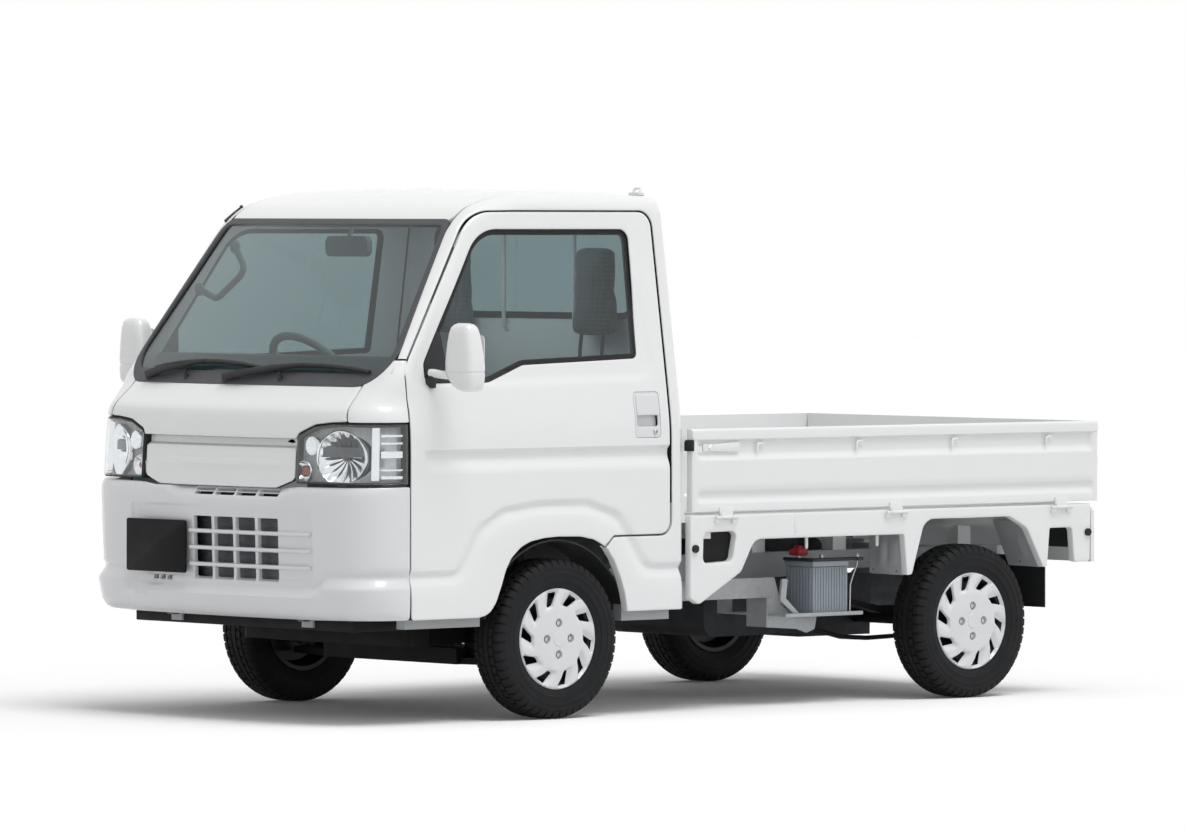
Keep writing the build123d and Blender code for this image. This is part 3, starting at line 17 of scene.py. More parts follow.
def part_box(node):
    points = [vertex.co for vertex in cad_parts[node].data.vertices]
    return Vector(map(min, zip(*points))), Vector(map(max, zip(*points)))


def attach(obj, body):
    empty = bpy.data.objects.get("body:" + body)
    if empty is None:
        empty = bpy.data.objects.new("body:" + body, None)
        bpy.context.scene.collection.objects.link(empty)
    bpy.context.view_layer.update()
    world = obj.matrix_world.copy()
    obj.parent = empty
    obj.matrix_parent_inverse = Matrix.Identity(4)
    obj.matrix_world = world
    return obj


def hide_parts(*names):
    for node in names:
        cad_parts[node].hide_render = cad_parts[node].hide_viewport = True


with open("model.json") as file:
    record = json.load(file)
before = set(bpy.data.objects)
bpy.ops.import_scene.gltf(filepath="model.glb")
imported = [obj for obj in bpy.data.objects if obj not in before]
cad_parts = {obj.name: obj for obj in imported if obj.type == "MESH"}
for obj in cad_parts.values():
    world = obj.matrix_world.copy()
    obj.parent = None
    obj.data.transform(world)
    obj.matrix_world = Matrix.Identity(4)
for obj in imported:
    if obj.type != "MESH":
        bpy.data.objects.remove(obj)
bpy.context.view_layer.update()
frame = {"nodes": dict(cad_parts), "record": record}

# %% [markdown]
# The camera stands where the photograph was taken: far away with a long lens, at about the height of
# the roof, so the truck shows its front and its left side with almost parallel lines. Its turn is built
# from three angles, because a camera that only aims at a point has no roll.

# %% Camera
PHOTO_WIDTH = 1186
FOCAL_PIXELS = 8461.0
SENSOR_MM = 36.0
CAMERA_PLACE = Vector((19.239, 21.375, 1.660))
CAMERA_TURN = [math.radians(angle) for angle in (-131.972, -1.375, 0.108)]


def photo_camera():
    """Camera at the photograph's place, turned by yaw, pitch and roll."""
    yaw, pitch, roll = CAMERA_TURN
    forward = Vector((math.cos(pitch) * math.cos(yaw), math.cos(pitch) * math.sin(yaw), math.sin(pitch)))
    level = Vector((math.sin(yaw), -math.cos(yaw), 0))
    upright = level.cross(forward)
    right = level * math.cos(roll) + upright * math.sin(roll)
    up = upright * math.cos(roll) - level * math.sin(roll)
    data = bpy.data.cameras.new("photo_camera")
    data.sensor_fit = "HORIZONTAL"
    data.sensor_width = SENSOR_MM
    data.lens = FOCAL_PIXELS / PHOTO_WIDTH * SENSOR_MM
    data.clip_end = 200
    camera = bpy.data.objects.new("photo_camera", data)
    turn = Matrix((right, up, -forward)).transposed().to_4x4()
    camera.matrix_world = Matrix.Translation(CAMERA_PLACE) @ turn
    bpy.context.scene.collection.objects.link(camera)
    return camera


bpy.context.scene.camera = photo_camera()
bpy.context.scene.view_settings.view_transform = "Standard"
print("lens", round(bpy.context.scene.camera.data.lens, 1), "mm")

# %% [markdown]
# Every finish is a small node tree. One function adds a node, sets its values and links it, and one
# function turns the sRGB hex values that a designer would note down into linear colour.


# %% Node and colour helpers
def linear(hex_value):
    """sRGB hex such as F2F3F1 as linear RGBA."""
    channels = [int(hex_value[i:i + 2], 16) / 255 for i in (0, 2, 4)]
    return [c / 12.92 if c <= 0.04045 else ((c + 0.055) / 1.055) ** 2.4 for c in channels] + [1.0]


def add_node(tree, kind, values=(), **links):
    """One node with its settings and incoming links; a link is named after its socket, _ for a space."""
    node = tree.nodes.new("ShaderNode" + kind)
    for key, value in dict(values).items():
        if hasattr(node, key):
            setattr(node, key, value)
        else:
            node.inputs[key].default_value = value
    for key, source in links.items():
        tree.links.new(source, node.inputs[key.replace("_", " ")])
    return node


def start_finish(name):
    """New material with its tree, its shader and the object's own coordinates in metres."""
    material = bpy.data.materials.new(name)
    material.use_nodes = True
    tree = material.node_tree
    shader = tree.nodes["Principled BSDF"]
    place = add_node(tree, "TexCoord").outputs["Object"]
    return material, tree, shader, place


def set_sockets(shader, sockets):
    """Plain values straight on the shader's own sockets."""
    for key, value in sockets.items():
        shader.inputs[key].default_value = value


# %% [markdown]
# Painted, moulded and cast surfaces differ in colour, gloss and grain but are built alike: a slow
# drift of colour, a drift of gloss, and a fine bump whose size comes from the real surface in mm.
# Pictures could give the same, but noise needs no file and holds at any distance.


# %% Painted, moulded and cast finishes
def surface_finish(name, light, dark, patch_mm, gloss, grain_mm, depth_mm, **sockets):
    """Finish with a colour between two hex values, a roughness between two values, and a fine grain."""
    material, tree, shader, place = start_finish(name)
    drift = add_node(tree, "TexNoise", {"Scale": 1000 / patch_mm, "Detail": 3.0}, Vector=place)
    tone = add_node(tree, "Mix", {"data_type": "RGBA"}, Factor=drift.outputs["Fac"])
    for socket, colour in zip([s for s in tone.inputs if s.type == "RGBA"], (light, dark)):
        socket.default_value = linear(colour)
    tree.links.new([s for s in tone.outputs if s.type == "RGBA"][0], shader.inputs["Base Color"])
    haze = add_node(tree, "MapRange", {"To Min": gloss[0], "To Max": gloss[1]}, Value=drift.outputs["Fac"])
    tree.links.new(haze.outputs["Result"], shader.inputs["Roughness"])
    grain = add_node(tree, "TexNoise", {"Scale": 1000 / grain_mm, "Detail": 2.0}, Vector=place)
    bump = add_node(tree, "Bump", {"Strength": 0.6, "Distance": depth_mm / 1000}, Height=grain.outputs["Fac"])
    tree.links.new(bump.outputs["Normal"], shader.inputs["Normal"])
    set_sockets(shader, {key.replace("_", " "): value for key, value in sockets.items()})
    return material


FINISHES = {
    # Baked enamel over pressed steel: white, a deep gloss and a trace of orange peel.
    "white_enamel": surface_finish("white_enamel_on_pressed_steel", "EDEEEE", "E8E9EA", 900, (0.30, 0.36),
        9, 0.02,
        Coat_Weight=1.0, Coat_Roughness=0.04),
    # Bumper moulding, painted to match: a shade greyer and softer in gloss than the steel.
    "white_moulding": surface_finish("white_painted_polypropylene", "E2E3E6", "DDDEE1", 700, (0.34, 0.40),
        7, 0.02,
        Coat_Weight=0.8, Coat_Roughness=0.08),
    # Thin grey primer on chassis steel: matt with a dry look.
    "grey_primer": surface_finish("grey_primer_on_steel", "B9BCBE", "A6A9AC", 160, (0.45, 0.6), 5, 0.05),
    # Black wax over chassis steel: uneven and half matt.
    "chassis_black": surface_finish("black_wax_on_steel", "1B1B1D", "101011", 90, (0.55, 0.75), 6, 0.2,
        Specular_IOR_Level=0.25),
    # Painted shade: a dark colour on the flanges that show in the panel gaps, standing in for the shadow in
    # the gaps.
    "flange_sealer": surface_finish("gap_shade_paint_on_flanges", "2C2D2F", "222325", 60, (0.6, 0.75), 5, 0.1,
        Specular_IOR_Level=0.2),
    # Forged and turned steel of the steering and the hubs, oiled and dusty.
    "oiled_steel": surface_finish("oiled_forged_steel", "3A3B3D", "29292B", 50, (0.5, 0.7), 4, 0.1,
        Metallic=0.4),
    # Grained black polypropylene of the cowl and the wiper arms.
    "black_polypropylene": surface_finish("grained_black_polypropylene", "232427", "1A1B1D", 80, (0.5,
        0.62), 1.6, 0.08),
    # EPDM seals round the glass: dead matt, slightly dusty.
    "black_seal": surface_finish("extruded_epdm_seal", "222326", "191A1C", 60, (0.5, 0.65), 2.5, 0.06,
        Specular_IOR_Level=0.3),
    # Moulded dashboard and steering wheel: grey with a leather grain.
    "dash_moulding": surface_finish("grained_grey_dashboard_moulding", "8E9596", "838A8B", 120, (0.55,
        0.7), 2.2, 0.12),
    # Cowl below the screen: dark grey moulding, weathered.
    "cowl_moulding": surface_finish("weathered_grey_cowl_moulding", "4C4D51", "404145", 90, (0.5, 0.62),
        1.8, 0.08),
    # Galvanised bracket under the battery tray, with its spangle.
    "galvanised_steel": surface_finish("galvanised_bracket_steel", "B4B7B9", "9C9FA2", 22, (0.4, 0.55), 6,
        0.05, Metallic=0.35),
    # Pale moulded trim on the pillars and the cab lining.
    "pale_trim": surface_finish("pale_grey_moulded_trim", "9DA4A4", "929999", 150, (0.5, 0.62), 2.0, 0.06),
    # Vacuum-coated reflectors and mirror glass.
    "bright_coat": surface_finish("vacuum_coated_reflector", "F6F7F8", "ECEEF0", 40, (0.06, 0.12), 12,
        0.02, Metallic=1.0),
    # Zinc plate on nuts, pins and hinges.
    "zinc_plate": surface_finish("zinc_plated_steel", "C9CBCC", "AEB1B4", 25, (0.28, 0.42), 2, 0.03,
        Metallic=1.0),
    # Rough sand casting of the engine and the gearbox.
    "sand_casting": surface_finish("sand_cast_iron", "4B4D50", "38393C", 60, (0.55, 0.75), 2.5, 0.4,
        Metallic=0.6),
    # Wheel covers: silver-white paint on a moulding.
    "cover_paint": surface_finish("silver_white_painted_cover", "E3E5E7", "D8DADD", 120, (0.28, 0.36), 4,
        0.02,
                                  Coat_Weight=0.6, Coat_Roughness=0.1),
    # Steel rim behind the cover, dipped black.
    "rim_black": surface_finish("dipped_black_rim", "131314", "0C0C0D", 70, (0.4, 0.55), 4, 0.05),
    # Ribbed polypropylene battery case, translucent grey.
    "battery_case": surface_finish("translucent_battery_polypropylene", "9AA3AB", "8A949C", 60, (0.3,
        0.42), 3, 0.05),
    # Red cap over the live terminal.
    "red_cap": surface_finish("red_pvc_terminal_cap", "B3232A", "98191F", 30, (0.35, 0.5), 3, 0.05),
    # Amber bulb under the clear lamp cover.
    "amber_bulb": surface_finish("amber_dipped_bulb", "C8541C", "9E3A12", 12, (0.15, 0.25), 4, 0.02),
    # Moulded red lens of the tail lamps.
    "red_lens": surface_finish("moulded_red_lens", "B01219", "8E0C12", 30, (0.12, 0.2), 6, 0.05),
    # Aluminium radiator core, dull.
    "radiator_core": surface_finish("brazed_aluminium_core", "6E7276", "5C6064", 15, (0.4, 0.6), 4, 0.2,
        Metallic=0.7),
    # Tread and sidewall compound: near black, dry, with a bloom of dust.
    "tyre_rubber": surface_finish("vulcanised_tyre_rubber", "1B1C1E", "121315", 70, (0.62, 0.76), 3, 0.10,
                                  Specular_IOR_Level=0.25),
    # Satin silver lining of the lamp box.
    "lamp_lining": surface_finish("satin_silver_lamp_lining", "E9EAEC", "DCDEE0", 40, (0.22, 0.34), 6,
        0.03, Metallic=0.1),
    # Grey moulded shade across the main bowl.
    "lamp_shade": surface_finish("grey_moulded_lamp_shade", "6C6F72", "5A5D60", 30, (0.35, 0.5), 3, 0.03),
    # Blank black number plate.
    "plate_black": surface_finish("satin_black_blank_plate", "0E0F12", "0A0B0D", 60, (0.46, 0.56), 3, 0.03,
                                  Specular_IOR_Level=0.15),
    # Aluminised steel of the muffler.
    "aluminised_steel": surface_finish("aluminised_muffler_steel", "8E9193", "75787A", 60, (0.38, 0.55), 4,
        0.08, Metallic=0.8),
}
print(len(FINISHES), "plain finishes")

# %% [markdown]
# Glass is a thin closed plate with a real index. The windows have a body tint, the lamp covers are
# clear. The tint sits on the shader's own colour socket because it is the same all over. The seats are
# knitted cloth, whose ribs come from two crossing waves.


# %% Glass and cloth finishes
def glass_finish(name, tint, haze):
    """Clear plate with a tint; a trace of haze drifts over it as on washed glass."""
    material, tree, shader, place = start_finish(name)
    set_sockets(shader, {"Base Color": linear(tint), "Transmission Weight": 1.0, "IOR": 1.48})
    film = add_node(tree, "TexNoise", {"Scale": 3.0, "Detail": 2.0}, Vector=place)
    gloss = add_node(tree, "MapRange", {"To Min": 0.0, "To Max": haze}, Value=film.outputs["Fac"])
    tree.links.new(gloss.outputs["Result"], shader.inputs["Roughness"])
    return material


FINISHES["tinted_glass"] = glass_finish("green_tinted_window_glass", "A2B2B4", 0.0)


def woven_finish(name, light, dark, pitch_mm):
    """Knitted seat cloth: two crossing ribs of yarn, dull, and soft at grazing light."""
    material, tree, shader, place = start_finish(name)
    yarn = add_node(tree, "Math", {"operation": "MAXIMUM"})
    for way, socket in zip(("Y", "Z"), yarn.inputs):
        settings = {"Scale": 1000 / pitch_mm / 20, "bands_direction": way, "Distortion": 0.6}
        rib = add_node(tree, "TexWave", settings, Vector=place)
        tree.links.new(rib.outputs["Fac"], socket)
    tone = add_node(tree, "Mix", {"data_type": "RGBA"}, Factor=yarn.outputs[0])
    for socket, colour in zip([s for s in tone.inputs if s.type == "RGBA"], (dark, light)):
        socket.default_value = linear(colour)
    tree.links.new([s for s in tone.outputs if s.type == "RGBA"][0], shader.inputs["Base Color"])
    bump = add_node(tree, "Bump", {"Strength": 0.5, "Distance": 0.0004}, Height=yarn.outputs[0])
    tree.links.new(bump.outputs["Normal"], shader.inputs["Normal"])
    set_sockets(shader, {"Roughness": 0.9, "Sheen Weight": 0.25, "Specular IOR Level": 0.2})
    return material


FINISHES["seat_tricot"] = woven_finish("grey_tricot_seat_cloth", "646C71", "4E565B", 2.4)
FINISHES["lamp_glass"] = glass_finish("clear_polycarbonate_lamp_cover", "F7F9FA", 0.02)
print("glass and cloth finishes ready")

# %% [markdown]
# The studio is a pale floor and a white surround. The surround lights the truck softly, a little more from
# its left, a large lamp overhead gives the shadow, and floor and surround are white to the camera.

# %% Studio
FLOOR_SIZE = 120.0
SIDE_LIGHT = (0.35, 0.75)
KEY_POWER = 1.56
KEY_SPREAD = 32.0
KEY_PLACE = Vector((-0.3, 2.0, 5.2))
FLOOR_GLOW = 0.03
FLOOR_TONES = (0.72, 0.97)
FILL_POWER = 4.0
FILL_SIZE = (0.6, 0.8)
FILL_PLACE = (0.80, 0.0, 1.655)


def seen_or_mirrored(tree):
    """1 where a ray comes from the camera, from a reflection or through glass, else 0."""
    path = add_node(tree, "LightPath").outputs
    seen = path["Is Camera Ray"]
    for kind in ("Is Glossy Ray", "Is Transmission Ray"):
        either = add_node(tree, "Math", {"operation": "MAXIMUM"})
        tree.links.new(seen, either.inputs[0])
        tree.links.new(path[kind], either.inputs[1])
        seen = either.outputs[0]
    return seen


def white_surround():
    """World that lights the truck at a plain level, brighter from the left, and looks white."""
    world = bpy.data.worlds.new("white_surround")
    bpy.context.scene.world = world
    world.use_nodes = True
    tree = world.node_tree
    backdrop = tree.nodes["Background"]
    backdrop.inputs["Color"].default_value = (1, 1, 1, 1)
    across = add_node(tree, "SeparateXYZ", Vector=add_node(tree, "TexCoord").outputs["Generated"])
    low, high = SIDE_LIGHT
    light = add_node(tree, "MapRange", {"From Min": -1.0, "To Min": low, "To Max": high},
                     Value=across.outputs["Y"])
    level = add_node(tree, "MapRange", {"To Max": 1.0}, Value=seen_or_mirrored(tree))
    tree.links.new(light.outputs["Result"], level.inputs["To Min"])
    tree.links.new(level.outputs["Result"], backdrop.inputs["Strength"])


def studio_floor():
    """Wide pale floor that keeps the truck's shadow."""
    half = FLOOR_SIZE / 2
    mesh = bpy.data.meshes.new("studio_floor")
    mesh.from_pydata([(-half, -half, 0), (half, -half, 0), (half, half, 0), (-half, half, 0)], [],
                     [(0, 1, 2, 3)])
    floor = bpy.data.objects.new("studio_floor", mesh)
    bpy.context.scene.collection.objects.link(floor)
    material = bpy.data.materials.new("pale_studio_floor")
    material.use_nodes = True
    tree = material.node_tree
    tree.nodes.clear()
    seen = seen_or_mirrored(tree)
    tone = add_node(tree, "MapRange", {"To Min": FLOOR_TONES[0], "To Max": FLOOR_TONES[1]}, Value=seen)
    matt = add_node(tree, "BsdfDiffuse", Color=tone.outputs["Result"])
    glow = add_node(tree, "Emission", {"Color": (1, 1, 1, 1)})
    level = add_node(tree, "MapRange", {"To Min": 0.0, "To Max": FLOOR_GLOW}, Value=seen)
    tree.links.new(level.outputs["Result"], glow.inputs["Strength"])
    both = add_node(tree, "AddShader")
    tree.links.new(matt.outputs[0], both.inputs[0])
    tree.links.new(glow.outputs[0], both.inputs[1])
    output = add_node(tree, "OutputMaterial")
    tree.links.new(both.outputs[0], output.inputs["Surface"])
    mesh.materials.append(material)


def overhead_lamp():
    """Broad soft lamp high over the truck's left front, far enough to light the floor evenly."""
    data = bpy.data.lights.new("overhead_lamp", "SUN")
    data.angle = math.radians(KEY_SPREAD)
    data.energy = KEY_POWER
    lamp = bpy.data.objects.new("overhead_lamp", data)
    lamp.location = KEY_PLACE
    lamp.rotation_euler = (-KEY_PLACE).to_track_quat("-Z", "Y").to_euler()
    bpy.context.scene.collection.objects.link(lamp)


def cab_fill():
    """Small soft lamp under the roof, as photographers use to open up a dark interior."""
    data = bpy.data.lights.new("cab_fill", "AREA")
    data.shape = "RECTANGLE"
    data.size, data.size_y = FILL_SIZE
    data.energy = FILL_POWER
    lamp = bpy.data.objects.new("cab_fill", data)
    lamp.location = FILL_PLACE
    lamp.visible_camera = False
    lamp.visible_glossy = False
    lamp.visible_transmission = False
    bpy.context.scene.collection.objects.link(lamp)


white_surround()
studio_floor()
overhead_lamp()
cab_fill()
print("studio ready")

# %% [markdown]
# Plain CAD nodes keep their shape where it is right and only take a finish. A table from slot to finish
# does that in one loop.

# %% Finishes on the CAD nodes
NODE_FINISH = {
    "white_paint": "white_enamel", "grey_paint": "grey_primer", "dark_paint": "chassis_black",
    "window_glass": "tinted_glass", "lamp_cover": "lamp_glass", "reflector": "bright_coat",
    "black_plastic": "black_polypropylene", "dash_plastic": "dash_moulding", "seat_cloth": "seat_tricot",
    "tyre_rubber": "black_seal", "black_rubber": "black_seal", "wheel_finish": "cover_paint",
    "cast_metal": "sand_casting", "bare_steel": "oiled_steel", "alloy_core": "radiator_core",
    "red_lens": "red_lens", "battery_case": "battery_case", "mirror_head": "white_moulding",
}
node_slots = {row["node"]: row["material_slot"] for row in frame["record"]["subparts"]}
OWN_FINISH = {"interior_mirror": "pale_trim", "muffler": "aluminised_steel", "cab_floor": "grey_primer"}
for node_name, node in frame["nodes"].items():
    finish = OWN_FINISH.get(node_name, NODE_FINISH[node_slots[node_name]])
    node.data.materials.clear()
    node.data.materials.append(FINISHES[finish])
print(len(node_slots), "nodes have a finish")

# %% [markdown]
# Pieces are made from chunks: a list of points with a list of faces. Chunks are joined into one
# object per piece, each with its own finish, and the piece then rides on its body.


# %% Chunks and pieces
def mirrored(chunk):
    """Chunk on the other side of the truck."""
    points, faces = chunk
    return np.array(points) * (1, -1, 1), [tuple(reversed(face)) for face in faces]


def moved(chunk, matrix):
    """Chunk turned and shifted by a matrix."""
    points, faces = chunk
    spots = np.array(points, float)
    turn = np.array(matrix.to_3x3())
    return spots @ turn.T + np.array(matrix.translation), faces


def joined(*chunks):
    """Several chunks of one finish as one."""
    points = []
    faces = []
    for spots, polygons in chunks:
        start = len(points)
        points.extend(map(tuple, spots))
        faces.extend(tuple(start + i for i in polygon) for polygon in polygons)
    return np.array(points), faces


def make_piece(name, body, parts, stands_for=(), sharp=38):
    """Object on a body, in place of CAD nodes, from rows of chunk, finish and maybe the finish of its rim."""
    points = []
    faces = []
    finish_of = []
    finishes = []
    for chunk, *own in parts:
        finishes += [finish for finish in own if finish not in finishes]
        half = len(chunk[0]) // 2
        start = len(points)
        points.extend(map(tuple, chunk[0]))
        faces.extend(tuple(start + i for i in polygon) for polygon in chunk[1])
        for face in chunk[1]:
            # Faces on a panel's rim take the rim finish, such as the painted gap shade.
            on_rim = min(face) < half <= max(face)
            finish_of.append(finishes.index(own[-1] if on_rim else own[0]))
    mesh = bpy.data.meshes.new(name)
    mesh.from_pydata(points, [], faces)
    for finish in finishes:
        mesh.materials.append(FINISHES[finish])
    mesh.polygons.foreach_set("material_index", finish_of)
    mesh.shade_smooth()
    mesh.set_sharp_from_angle(angle=math.radians(sharp))
    piece = bpy.data.objects.new(name, mesh)
    bpy.context.scene.collection.objects.link(piece)
    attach(piece, body)
    if stands_for:
        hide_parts(*stands_for)
    print(name, len(points), "points", len(faces), "faces")
    return piece


def make_pair(name, body, parts, stands_for=(), sharp=38):
    """Piece on the left and its mirror image on the right; {} in a name stands for the side."""
    pair = []
    for side, turn in (("left", None), ("right", mirrored)):
        rows = [(turn(chunk) if turn else chunk, *own) for chunk, *own in parts]
        nodes = [node.format(side) for node in stands_for]
        pair.append(make_piece(name.format(side), body.format(side), rows, nodes, sharp))
    return pair


# %% [markdown]
# Three plain ways of making a chunk cover most small pieces: a tube along a line, a profile turned
# about an axis, and a flat outline with thickness and softened edges.


# %% Tubes, turned profiles and plates
def ring_faces(rings, count):
    """Four-cornered faces between neighbouring rings of count points each."""
    faces = []
    for i in range(rings - 1):
        for k in range(count):
            j = (k + 1) % count
            faces.append((i * count + k, i * count + j, (i + 1) * count + j, (i + 1) * count + k))
    return faces


def capped_faces(rings, count):
    """Faces of a closed form through rings of count points each: its foot, its walls and its top."""
    last = (rings - 1) * count
    return [tuple(reversed(range(count)))] + ring_faces(rings, count) + [tuple(range(last, last + count))]


def tube(path, radius, sides=10, squash=1.0):
    """Round bar along a line of points, closed at both ends."""
    spots = [Vector(p) for p in path]
    rings = []
    side = None
    for i, spot in enumerate(spots):
        ahead = spots[min(i + 1, len(spots) - 1)] - spots[max(i - 1, 0)]
        ahead.normalize()
        if side is None:
            side = ahead.orthogonal().normalized()
        side = (side - ahead * side.dot(ahead)).normalized()
        other = ahead.cross(side)
        width = radius[i] if isinstance(radius, (list, tuple)) else radius
        for k in range(sides):
            angle = 2 * math.pi * k / sides
            rings.append(spot + (side * math.cos(angle) + other * math.sin(angle) * squash) * width)
    return np.array(rings), capped_faces(len(spots), sides)


def turned(profile, steps=48):
    """Profile of (radius, height) turned about Z; a radius of zero closes it."""
    points = []
    for radius, height in profile:
        for k in range(steps):
            angle = 2 * math.pi * k / steps
            points.append((radius * math.cos(angle), radius * math.sin(angle), height))
    return np.array(points), ring_faces(len(profile), steps)


def rounded_path(points, radii, step, closed):
    """Line through the points with rounded corners, divided to about step."""
    spots = [np.array(p, float) for p in points]
    count = len(spots)
    line = []
    for i, here in enumerate(spots):
        radius = radii[i]
        at_end = not closed and i in (0, count - 1)
        before = spots[i - 1] - here
        after = spots[(i + 1) % count] - here
        if radius <= 0 or at_end:
            line.append(here)
            continue
        back = before / np.linalg.norm(before)
        on = after / np.linalg.norm(after)
        angle = math.acos(max(-1.0, min(1.0, float(back @ on))))
        reach = min(radius / math.tan(angle / 2), 0.49 * np.linalg.norm(before), 0.49 * np.linalg.norm(after))
        radius = reach * math.tan(angle / 2)
        middle = (back + on) / np.linalg.norm(back + on)
        centre = here + middle * radius / math.sin(angle / 2)
        first = here + back * reach - centre
        final = here + on * reach - centre
        sweep = math.pi - angle
        steps = max(3, int(sweep * radius / step) + 2)
        for k in range(steps + 1):
            share = k / steps
            arc = first * math.sin((1 - share) * sweep) + final * math.sin(share * sweep)
            line.append(centre + arc / math.sin(sweep))
    divided = []
    for i, here in enumerate(line):
        if i == len(line) - 1 and not closed:
            divided.append(here)
            break
        after = line[(i + 1) % len(line)]
        pieces = max(1, int(np.linalg.norm(after - here) / step))
        divided += [here + (after - here) * k / pieces for k in range(pieces)]
    return np.array(divided)


def box_corners(low, high):
    """Four corners of an upright rectangle, anticlockwise from the low one."""
    return [low, (high[0], low[1]), high, (low[0], high[1])]


def box_loop(low, high, radius, step):
    """Upright rectangle with rounded corners as a closed loop."""
    return rounded_path(box_corners(low, high), [radius] * 4, step, True)


def inset(loop, amount):
    """Closed loop moved to its left, which is inward when it runs anticlockwise."""
    edge = np.roll(loop, -1, 0) - loop
    edge /= np.maximum(np.linalg.norm(edge, axis=1, keepdims=True), 1e-9)
    normal = np.stack([-edge[:, 1], edge[:, 0]], 1)
    mean = normal + np.roll(normal, 1, 0)
    mean /= np.maximum(np.linalg.norm(mean, axis=1, keepdims=True), 1e-9)
    reach = amount / np.clip(np.sum(mean * normal, 1), 0.5, 1)
    return loop + mean * reach[:, None]


def facing(loop, anticlockwise):
    """Loop running the asked way round."""
    x, y = loop[:, 0], loop[:, 1]
    area = np.sum(x * np.roll(y, -1) - np.roll(x, -1) * y)
    return loop if (area > 0) == anticlockwise else loop[::-1]


def shrunk(loop, amount):
    """Closed loop moved inward, whichever way it runs."""
    return inset(facing(loop, True), amount)


def plate(outline, radii, depth, soft=0.002, step=0.01):
    """Flat outline with rounded corners, from z 0 up to depth, with a softened upper edge."""
    loop = facing(rounded_path(outline, radii, step, True), True)
    rings = [(loop, 0.0), (loop, depth - soft), (inset(loop, soft * 0.3), depth - soft * 0.3),
             (inset(loop, soft), depth)]
    points = [(x, y, z) for ring, z in rings for x, y in ring]
    return np.array(points), capped_faces(len(rings), len(loop))


def standing(outline, radii, y, depth, soft=0.0015):
    """Flat plate in a plane along the truck, its softened edge outward, from y out to y plus depth."""
    points, faces = plate(outline, radii, depth, soft)
    return np.stack([points[:, 0], y + points[:, 2], points[:, 1]], 1), [f[::-1] for f in faces]


def soft_box(low, high, soft):
    """Box between two corners with rounded edges."""
    mesh = bmesh.new()
    bmesh.ops.create_cube(mesh, size=1.0)
    size = np.array(high, float) - np.array(low, float)
    for vert in mesh.verts:
        vert.co = Vector((np.array(vert.co) + 0.5) * size + np.array(low, float))
    bmesh.ops.bevel(mesh, geom=list(mesh.edges), offset=soft, segments=2, affect="EDGES", profile=0.6)
    mesh.verts.index_update()
    points = np.array([tuple(v.co) for v in mesh.verts])
    faces = [tuple(v.index for v in f.verts) for f in mesh.faces]
    mesh.free()
    return points, faces


# %% [markdown]
# The cab is one smooth form that the panels are cut from, as on the real press tools. The form is the
# place where a few simple faces meet with rounded corners: leaning sides, a bowed front with a hood and
# a screen, a crowned roof and a flat rear. A point of a panel is found by going out from inside the cab
# until that form is met, so neighbouring panels always line up.

# %% The cab's form
SIDE_HALF = 0.728
TUMBLE_HEIGHT = 0.960
TUMBLE_SLOPE = 0.1524
BOW = 4.0
CAB_REAR = 0.254
REAR_CORNER = 0.030
ROOF_EDGE = 0.046
ROOF_TOP = 1.736
ROOF_CROWN = 24
ROOF_BEND_X = 0.82
ROOF_BEND = 0.76
ROOF_FALL = 0.0141
FRONT_CORNER = 0.135
FRONT_CORNER_LOSS = 0.080
# Faces of the front: X, how far it falls back per metre of height, and the height of that X.
UPRIGHT_FACE = (1.6835, 0.0565, 0.78)
HOOD_FACE = (1.670, 1.234, 1.019)
SCREEN_FACE = (1.591, 0.7225, 1.083)
LIP_HEIGHTS = (0.335, 0.352, 0.372, 0.400, 0.436, 0.444, 0.450, 0.482, 0.490, 0.502, 0.60, 0.74)
LIP_REACHES = (1.640, 1.668, 1.6815, 1.6890, 1.6966, 1.6970, 1.6952, 1.6755, 1.6745, 1.6790, 1.6840, 1.6895)
END_HEIGHTS = (0.335, 0.36, 0.40, 0.445, 0.480, 0.488, 0.504, 0.8)
END_HALVES = (0.720, 0.729, 0.732, 0.732, 0.7185, 0.7188, 0.728, 0.728)
BUMPER_CORNER = 0.130


def ramp(value, width):
    """0 below, then rising one to one, with a soft bend of the given width."""
    return 0.5 * (value + np.sqrt(value * value + width * width))


def soft_less(a, b, width):
    """Smaller of two values with a soft change from one to the other."""
    return a - ramp(a - b, width)


def smooth_step(value):
    """0 to 1 with soft ends."""
    share = np.clip(value, 0, 1)
    return share * share * (3 - 2 * share)


def round_corner(a, b, radius):
    """Outside distance of two faces that meet in a rounded corner."""
    return np.minimum(np.maximum(a, b), -radius) + np.hypot(np.maximum(a + radius, 0),
            np.maximum(b + radius, 0))


def side_half(z):
    """Half width of the cab at height z."""
    return SIDE_HALF - TUMBLE_SLOPE * ramp(z - TUMBLE_HEIGHT, 0.05)


def front_reach(z):
    """X of the front on the centre line: upright panel, hood slope, screen."""
    upright, hood, screen = [x - fall * (z - at) for x, fall, at in (UPRIGHT_FACE, HOOD_FACE, SCREEN_FACE)]
    slope = screen + ramp(hood - screen, 0.012)
    return soft_less(upright, slope, 0.022)


def roof_height(x, y):
    """Height of the roof: nearly flat, falling to the screen in a long bend."""
    ahead = np.clip(x - ROOF_BEND_X, 0, 0.6)
    bend = ROOF_BEND - np.sqrt(ROOF_BEND ** 2 - ahead ** 2)
    behind = np.clip(ROOF_BEND_X - x, 0, 0.7)
    return ROOF_TOP - y * y / ROOF_CROWN - bend - ROOF_FALL * behind


